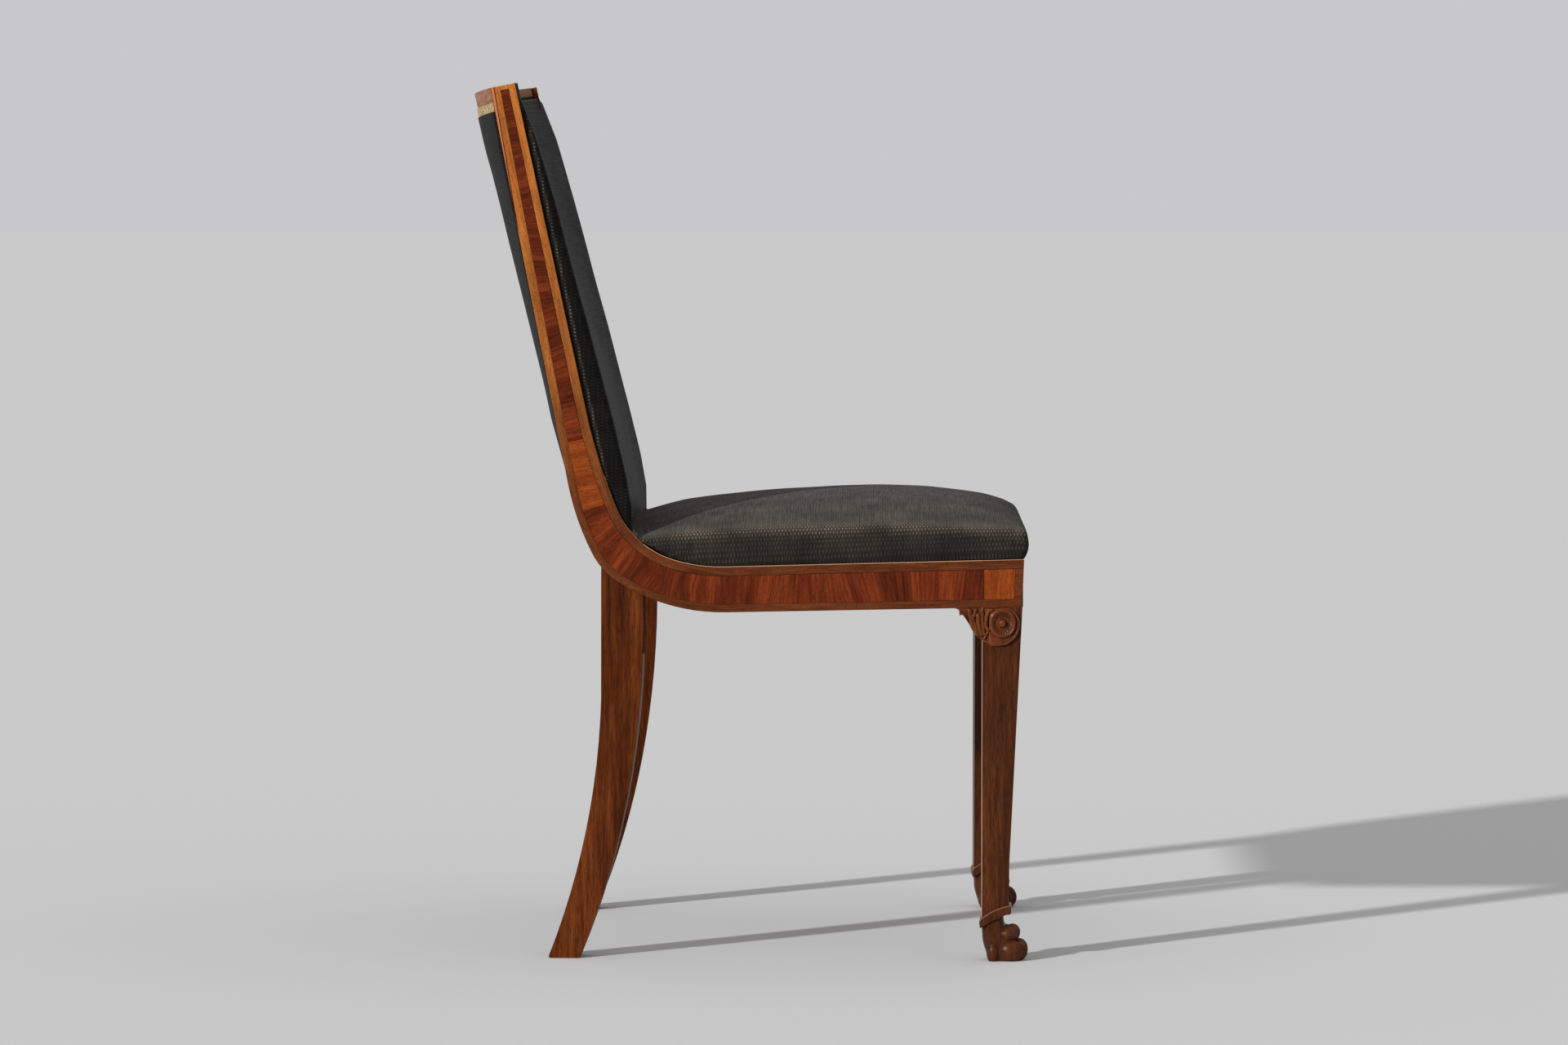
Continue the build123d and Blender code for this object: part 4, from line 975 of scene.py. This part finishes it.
# Rosettes: oval turned discs with a domed button, a ring of fine flutes and a raised rim.
# The turning is spun from its profile and the flutes are then pressed into its face.
rosette_profile = (
    (0.0, 0.0072), (0.0014, 0.0071), (0.0027, 0.0066), (0.0037, 0.0057), (0.0042, 0.0044), (0.0045, 0.0034),
    (0.0052, 0.0032), (0.0068, 0.0036), (0.0084, 0.0041), (0.01, 0.0047), (0.0112, 0.0051), (0.0118, 0.0053),
    (0.0124, 0.0057), (0.013, 0.0058), (0.0136, 0.0055), (0.0139, 0.0047), (0.014, 0.0036), (0.014, 0.001),
    (0.0, 0.001),
)
flute_count = 38
flute_depth = 0.0011
for side, way in hands:
    disc = bmesh.new()
    profile = [disc.verts.new((radius, 0.0, height)) for radius, height in rosette_profile]
    line = [disc.edges.new(pair) for pair in zip(profile, profile[1:])]
    bmesh.ops.spin(
        disc,
        geom=profile + line,
        cent=(0, 0, 0),
        axis=(0, 0, 1),
        angle=2 * pi,
        steps=flute_count * 8,
        use_merge=True,
    )
    bmesh.ops.remove_doubles(disc, verts=disc.verts, dist=0.000001)
    deep = disc.verts.layers.float.new("hollow")
    # Hollow values set from the radius: the dish and flute grooves get the carved wood's painted shade and
    # grime, the button, rim and flute tops its painted highlight and wear.
    for vertex in disc.verts:
        radius = hypot(vertex.co.x, vertex.co.y)
        vertex[deep] = 0.35 if radius < 0.004 or radius > 0.0121 else 0.9
        if 0.0048 < radius < 0.0119 and vertex.co.z > 0.003:
            groove = 0.5 + 0.5 * cos(flute_count * atan2(vertex.co.y, vertex.co.x))
            vertex.co.z -= flute_depth * groove * sin(pi * (radius - 0.0045) / 0.0078)
            vertex[deep] = 0.25 + 0.6 * groove
    for vertex in disc.verts:
        vertex.co = on_side(
            vertex.co.z, rosette_distance + vertex.co.x * 0.943, rosette_height + vertex.co.y * 1.036, way
        )
    face_out(disc)
    smooth_shading(stand_in("rosette_" + side, "rosette_turned_" + side, disc, carved))

# Seat: black horsehair cloth drawn over a stuffed dome and tacked to the rails. It rises in
# an upright border, turns in over a soft fold and swells to the middle, rising slowly from
# the front and falling away faster towards the back.
seat_front = 0.0009
seat_rear = 0.3975
seat_rear_bow = 0.018
seat_side_margin = 0.0006
seat_corner = 0.007
seat_sheen = 3.3
seat_cuts = 71
seat_tuck = 0.003
seat_roll = 0.0065
fold_places = (0.0, 0.02, 0.06, 0.15, 0.25, 0.32, 0.365, 0.394)
fold_heights = (0.4415, 0.4435, 0.445, 0.445, 0.4435, 0.44, 0.436, 0.431)
crown_places = (
    0.0, 0.005, 0.01, 0.02, 0.04, 0.06, 0.1, 0.15, 0.2, 0.25, 0.29, 0.32, 0.35, 0.372, 0.39, 0.412,
)
crown_heights = (
    0.4415, 0.4465, 0.4502, 0.4558, 0.4628, 0.4662, 0.4708, 0.4722, 0.4712, 0.4684, 0.4648, 0.461, 0.4562,
    0.4496, 0.443, 0.435,
)
crown_power = 2.7
rib_pitch = 0.0018
glint_row = 0.0048
glint_colour = (0.26, 0.2, 0.135)
front_swell = 0.0014
side_swell = 0.0012


def side_half(distance, inboard):
    """Half the width between the side frames at a distance behind the toe line."""
    return toe_width / 2 - distance * tan(splay) - inboard


def wave(tree, value, turns):
    """Sine of a socket times a number of turns."""
    return join(tree, "SINE", times(tree, value, turns), 0.0)


def rib_cloth(name, deep, pale, gloss, roughness):
    """Horsehair cloth: fine ribs, staggered small glints on every second rib, and a sheen."""
    cloth, tree, shader = new_material(name, gloss)
    place, course, row = map_place(tree, "weave")
    rib = wave(tree, course, 2 * pi / rib_pitch)
    knots = times(tree, wave(tree, course, pi / rib_pitch), wave(tree, row, pi / glint_row))
    lines = spread(tree, rib, -1.0, 1.0, 0.0, 1.0)
    mottle = stretched_noise(tree, place, (420.0, 22.0, 1.0), 3.0, 0.6)
    cloud = stretched_noise(tree, place, (22.0, 22.0, 1.0), 3.0, 0.6)
    tone = plus(tree, times(tree, lines, 0.45), spread(tree, mottle, 0.3, 0.7, 0.0, 0.55))
    tone = times(tree, tone, spread(tree, cloud, 0.3, 0.7, 0.6, 1.1))
    colour = colour_ramp(tree, (deep, pale), tone)
    # The tone attribute scales the colour with painted sheen and painted shade.
    colour = darken(tree, colour, written(tree, "tone"))
    # Beige wear tint and painted glints along the worn lines.
    painted_light_and_marks = times(tree, written(tree, "wear_and_glints"), spread(tree, cloud, 0.35, 0.65, 0.35, 1.0))
    colour = blend(tree, "MIX", times(tree, painted_light_and_marks, 0.13), colour, glint_colour)
    spark = times(tree, spread(tree, knots, 0.55, 0.85, 0.0, 1.0), painted_light_and_marks)
    colour = blend(tree, "MIX", spark, colour, glint_colour)
    feed(shader, Base_Color=colour, Roughness=roughness)
    raise_surface(tree, plus(tree, lines, times(tree, knots, 0.4)), 0.3, 0.0003)
    return cloth


horsehair = rib_cloth("horsehair_seat", (0.0044, 0.0041, 0.0038), (0.026, 0.024, 0.0215), 0.03, 0.66)
back_hair = rib_cloth("horsehair_back", (0.003, 0.003, 0.0031), (0.0165, 0.0162, 0.016), 0.04, 0.6)


def rounded_plan(across, back, half, near, far, corner):
    """Draw a point in towards the middle so that the plan's corners are round."""
    centre = Vector((half - corner, far - corner if back > (near + far) / 2 else near + corner))
    spoke = Vector((abs(across), back)) - centre
    outward = spoke.y if back > centre.y and back > (near + far) / 2 else -spoke.y
    if spoke.x <= 0 or outward <= 0 or spoke.length == 0:
        return across, back
    spoke *= max(spoke.x, outward) / spoke.length
    return (centre.x + spoke.x) * (1 if across >= 0 else -1), centre.y + spoke.y


def roll_back(gap, radius):
    """How far a rolled edge falls back at a gap inside it."""
    if gap >= radius:
        return 0.0
    return radius - (radius ** 2 - (radius - gap) ** 2) ** 0.5


def drawn_folds(across, back, height):
    """Shallow creases that fan out from the front corners of the seat over its sides."""
    turn = atan2(height - 0.418, back + 0.06)
    sway = 1.5 * noise.noise(Vector((across, back, height)) * 20.0)
    return 0.0005 * hump(back, 0.17) * sin(turn * 46.0 + sway)


def upper_edge(back):
    """Height of the frame's upper edge at a distance behind the toe line."""
    height = rail_top_height - back * tan(radians(upper_slope))
    for turn in range(20):
        height += 0.7 * along_frame(back, height)[1]
    return height


edge_places = [index * 0.008 for index in range(56)]
edge_heights = [upper_edge(place) for place in edge_places]


def seat_point(x, y, z):
    """Point of the seat cushion for a point of the unit cube."""
    back = part_way(seat_front, seat_rear, 0.5 - 0.5 * cos(pi * (y + 0.5)))
    half = side_half(back, seat_side_margin)
    across, back = rounded_plan(half * sin(pi * x), back, half, seat_front, seat_rear, seat_corner)
    level = between(edge_places, edge_heights, back) + 0.0004
    side_gap = max(0.0, half - abs(across))
    end_gap = max(0.0, min(back - seat_front, seat_rear - back))
    fold = max(between(fold_places, fold_heights, back), level + 0.002)
    roll = min(seat_roll, (fold - level) * 0.6)
    border_top = fold - roll
    swell = 0.0
    tuck = 0.0
    if z > 0.4999:
        bulge = 1 - (abs(across) / half) ** crown_power
        height = part_way(fold, between(crown_places, crown_heights, back), bulge)
        height -= roll_back(min(side_gap, end_gap), roll)
        height += 0.0011 * noise.noise(Vector((across, back, 0.3)) * 14.0) * min(1.0, side_gap / 0.05)
    elif z < -0.4999:
        height = level
        tuck = seat_tuck
    else:
        share = z + 0.5
        height = part_way(level, border_top, share)
        tuck = seat_tuck * (1 - share) ** 3
        swell = sin(pi * share)
    middle = (seat_front + seat_rear) / 2
    forward = front_swell * swell * max(0.0, 1 - end_gap / 0.02) if back < middle else 0.0
    sideways = side_swell * swell * max(0.0, 1 - side_gap / 0.02)
    creases = drawn_folds(across, back, height) * max(0.0, 1 - side_gap / 0.03)
    across = (abs(across) * (1 - tuck / 0.2) + sideways + creases) * (1 if across >= 0 else -1)
    back = middle + (back - middle) * (1 - tuck / 0.2) - forward
    rearward = max(0.0, (back - seat_front) / (seat_rear - seat_front))
    bow = seat_rear_bow * rearward ** 6 * (1 - (across / half) ** 2)
    return Vector((across, toe_line + back + bow, height))


def weave_map(mesh, pick_place):
    """Write the cloth's own coordinates into the weave UV map, face by face."""
    layer = mesh.uv_layers.new(name="weave")
    for face in mesh.polygons:
        for index in face.loop_indices:
            point = mesh.vertices[mesh.loops[index].vertex_index].co
            layer.data[index].uv = pick_place(point, face.normal)


def write_wear_and_light(mesh, amount, shade):
    """Write how worn the cloth is, with its painted glints, at each point, and the painted sheen and shade
    there.
    """
    for name, value in (("wear_and_glints", amount), ("tone", shade)):
        layer = mesh.attributes.new(name, "FLOAT", "POINT")
        layer.data.foreach_set("value", [value(vertex.co, vertex.normal) for vertex in mesh.vertices])


def seat_weave(point, normal):
    """Cloth coordinates on the seat: ribs run across the chair and down over its sides."""
    if normal.y < -0.75:
        return point.x, point.y - point.z
    return point.y, abs(point.x) - point.z


def seat_wear_and_glints(point, normal):
    """The seat is worn, with painted glints, most along the fold at the top of its border."""
    fold = between(fold_places, fold_heights, point.y - toe_line) - 0.002
    patchiness = 0.75 + 0.5 * noise.noise(point * 22.0)
    return max(0.05, 0.95 * hump(point.z - fold, 0.006) * patchiness + 0.22 * patchiness)


def seat_shade(point, normal):
    """Painted shade just inside the fold and painted sheen on the crown, as a factor on the cloth's colour.
    """
    fold = between(fold_places, fold_heights, point.y - toe_line)
    return 1.0 - 0.45 * hump(point.z - fold - 0.006, 0.004) + seat_sheen * clamp(normal.z) ** 3


def covered(name, shape, weave, amount, shade, cloth):
    """Upholstered piece from a shape, with its cloth laid on."""
    face_out(shape)
    piece = add_piece(name, shape)
    weave_map(piece.data, weave)
    write_wear_and_light(piece.data, amount, shade)
    smooth_shading(piece)
    dress(piece, cloth)
    return piece


seat_shape = fine_cube(1.0, seat_cuts)
for vertex in seat_shape.verts:
    vertex.co = seat_point(*vertex.co)
soften(seat_shape, 3, lambda point: between(edge_places, edge_heights, point.y - toe_line) + 0.006)
seat = covered("seat_upholstery", seat_shape, seat_weave, seat_wear_and_glints, seat_shade, horsehair)
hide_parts("seat_cover", "seat_stuffing")

# Back upholstery inside: the same cloth over a thin pad, hollow between the stiles and
# standing proud of them at both sides in a soft roll that grows towards the seat.
post_thickness = 0.03
back_shares = (0.027, 0.121, 0.259, 0.536, 0.722, 0.835, 0.905, 0.975)
back_edges = (0.002, 0.0097, 0.0147, 0.0212, 0.0252, 0.0262, 0.025, 0.018)
back_middles = (-0.023, -0.015, -0.005, 0.0095, 0.017, 0.0195, 0.02, 0.015)
back_bow_top = 0.028
back_bow_fall = 0.0375
stile_lean = pi / 2 - stile_heading
inside_roll = 0.006
inside_cuts = 79
inside_margin = 0.003
back_length = (stile_top_height - rail_top_height) / cos(stile_lean)
inside_stations = [share * back_length for share in back_shares]


def back_point(across, drop, depth):
    """Point of the back: across the chair, down the stiles, and rearwards from their fronts."""
    back = stile_top_distance - drop * sin(stile_lean) + depth * cos(stile_lean)
    height = stile_top_height - drop * cos(stile_lean) - depth * sin(stile_lean)
    return Vector((across, toe_line + back, height))


def back_half(drop, inboard):
    """Half the width of the back at a drop, an inboard distance from the veneered faces."""
    return side_half(stile_top_distance - drop * sin(stile_lean), inboard)


def back_bow(across, drop):
    """Front of the canvas at a place: before the stiles at the sides and bowed between them."""
    inner = back_half(drop, veneer + post_thickness)
    if abs(across) > inner - 0.0006:
        return -0.0003
    return 0.0006 + (back_bow_top - drop * back_bow_fall) * (1 - (across / inner) ** 2)


def inside_front(u, v):
    """Front of the inside back for shares across (-1 to 1) and down (0 to 1)."""
    top, foot = inside_stations[0], inside_stations[-1]
    drop = part_way(top, foot, 0.5 - 0.5 * cos(pi * v))
    half = back_half(drop, inside_margin)
    across = half * sin(u * pi / 2)
    inner = back_half(drop, veneer + post_thickness)
    edge = between(inside_stations, back_edges, drop)
    middle = between(inside_stations, back_middles, drop)
    down = (drop - top) / (foot - top)
    power = 2.0 + 3.0 * min(1.0, down * 1.6)
    hollow = max(0.0, 1 - (abs(across) / (inner + 0.012)) ** power)
    depth = -edge + (edge - middle) * hollow
    depth += 0.0006 * noise.noise(Vector((across, drop, 1.7)) * 16.0)
    side_fall = roll_back(half - abs(across), inside_roll)
    end_fall = roll_back(min(drop - top, foot - drop), inside_roll)
    return across, drop, min(depth + max(side_fall, end_fall), back_bow(across, drop) - 0.0006)


def back_weave(point, normal):
    """Cloth coordinates on the back: ribs run from stile to stile."""
    return point.z * 1.02, point.x + point.y * (-1 if point.x > 0 else 1)


def pad_depth(point):
    """How far a point of the back stands behind the stiles' fronts."""
    back = point.y - toe_line - stile_top_distance
    return back * cos(stile_lean) - (point.z - stile_top_height) * sin(stile_lean)


def inside_wear_and_glints(point, normal):
    """The inside back is worn, with painted glints, most in a narrow line down each side and on the roll."""
    patchiness = 0.75 + 0.5 * noise.noise(point * 22.0)
    outward = normal.x if point.x > 0 else -normal.x
    line = hump(pad_depth(point) + 0.0058, 0.0013) * max(0.0, outward)
    return max(0.03, 0.9 * line * patchiness + 0.06 * patchiness)


def inside_shade(point, normal):
    """Painted light and shade by facing: the pad's outward sides darker, a painted highlight along its rolled
    edge, and the slopes inside lightened.
    """
    outward = normal.x if point.x > 0 else -normal.x
    edge = 1.6 * hump(outward - 0.35, 0.16)
    return between((-0.3, 0.0, 0.5, 0.9), (3.8, 3.0, 1.0, 0.42), outward) + edge


inside_shape = fine_cube(2.0, inside_cuts)
for vertex in inside_shape.verts:
    u, w, v = vertex.co
    across, drop, depth = inside_front(u, 0.5 - v / 2)
    vertex.co = back_point(across, drop, part_way(depth, back_bow(across, drop), (w + 1) / 2))
inside_back = covered(
    "inside_back_upholstery", inside_shape, back_weave, inside_wear_and_glints, inside_shade, back_hair
)
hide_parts("inside_back_cover", "back_stuffing")

# Back upholstery outside: one width of the cloth, drawn smooth round the bent back from
# the crest rail down to the rear seat rail, with its side edges against the stiles.
outside_shares = (0.0485, 0.082, 0.123, 0.165, 0.243, 0.32, 0.465, 0.626, 0.701, 0.869, 1.011, 1.055)
outside_ends = (0.0276, 0.0278, 0.0281, 0.0284, 0.0288, 0.0294, 0.0306, 0.032, 0.0326, 0.0295, 0.0134, 0.0168)
outside_bows = (0.0262, 0.0258, 0.0252, 0.0234, 0.0216, 0.0202, 0.0167, 0.0126, 0.0122, 0.01, 0.0016, 0.0008)
outside_thickness = 0.0016
outside_cuts = 47
outside_stations = [share * back_length for share in outside_shares]
outside_shape = fine_cube(2.0, outside_cuts)
for vertex in outside_shape.verts:
    u, w, v = vertex.co
    drop = part_way(outside_stations[0], outside_stations[-1], 0.5 - v / 2)
    inner = back_half(drop, veneer + post_thickness) - 0.0003
    end = between(outside_stations, outside_ends, drop)
    bow = between(outside_stations, outside_bows, drop)
    depth = end + bow * (1 - u ** 2) + outside_thickness * (w + 1) / 2
    vertex.co = back_point(u * inner, drop, depth)
outside_back = covered(
    "outside_back_cloth", outside_shape, back_weave, lambda *place: 0.05, lambda *place: 0.85, back_hair
)
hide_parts("outside_back_cover")

# Woven trim: a flat straw-coloured braid over the top edge of the outside cloth, and a narrow near-black cord
# along the top of the inside cloth.
braid_colours = ((0.09, 0.058, 0.022), (0.3, 0.205, 0.085), (0.54, 0.42, 0.23))


def woven(name, scale, colours, low, high, roughness, rise):
    """Coarse woven stuff, speckled by its yarn."""
    stuff, tree, shader = new_material(name, 0.5)
    place = tree.nodes.new("ShaderNodeTexCoord").outputs["Object"]
    yarn = stretched_noise(tree, place, scale, 2.0, 0.5)
    colour = colour_ramp(tree, colours, spread(tree, yarn, low, high, 0.0, 1.0))
    feed(shader, Base_Color=colour, Roughness=roughness)
    raise_surface(tree, yarn, rise, 0.0005)
    return stuff


braid = woven("straw_braid", (700.0, 700.0, 420.0), braid_colours, 0.35, 0.65, 0.8, 0.8)
dress(nodes["outside_back_tape"], braid)
dress(nodes["inside_back_gimp"], plain_material("near_black_cord", (0.016, 0.012, 0.008), 0.7))

# Webbing and canvas: jute straps interlaced over the seat frame and down the back, under
# a plain canvas that carries the stuffing. They show only from below.
jute_colours = ((0.16, 0.11, 0.06), (0.5, 0.4, 0.26))
jute = woven("jute", (500.0, 500.0, 500.0), jute_colours, 0.3, 0.7, 0.9, 0.7)
for layer in ("seat_webbing", "seat_canvas", "back_webbing", "back_canvas"):
    dress(nodes[layer], jute)
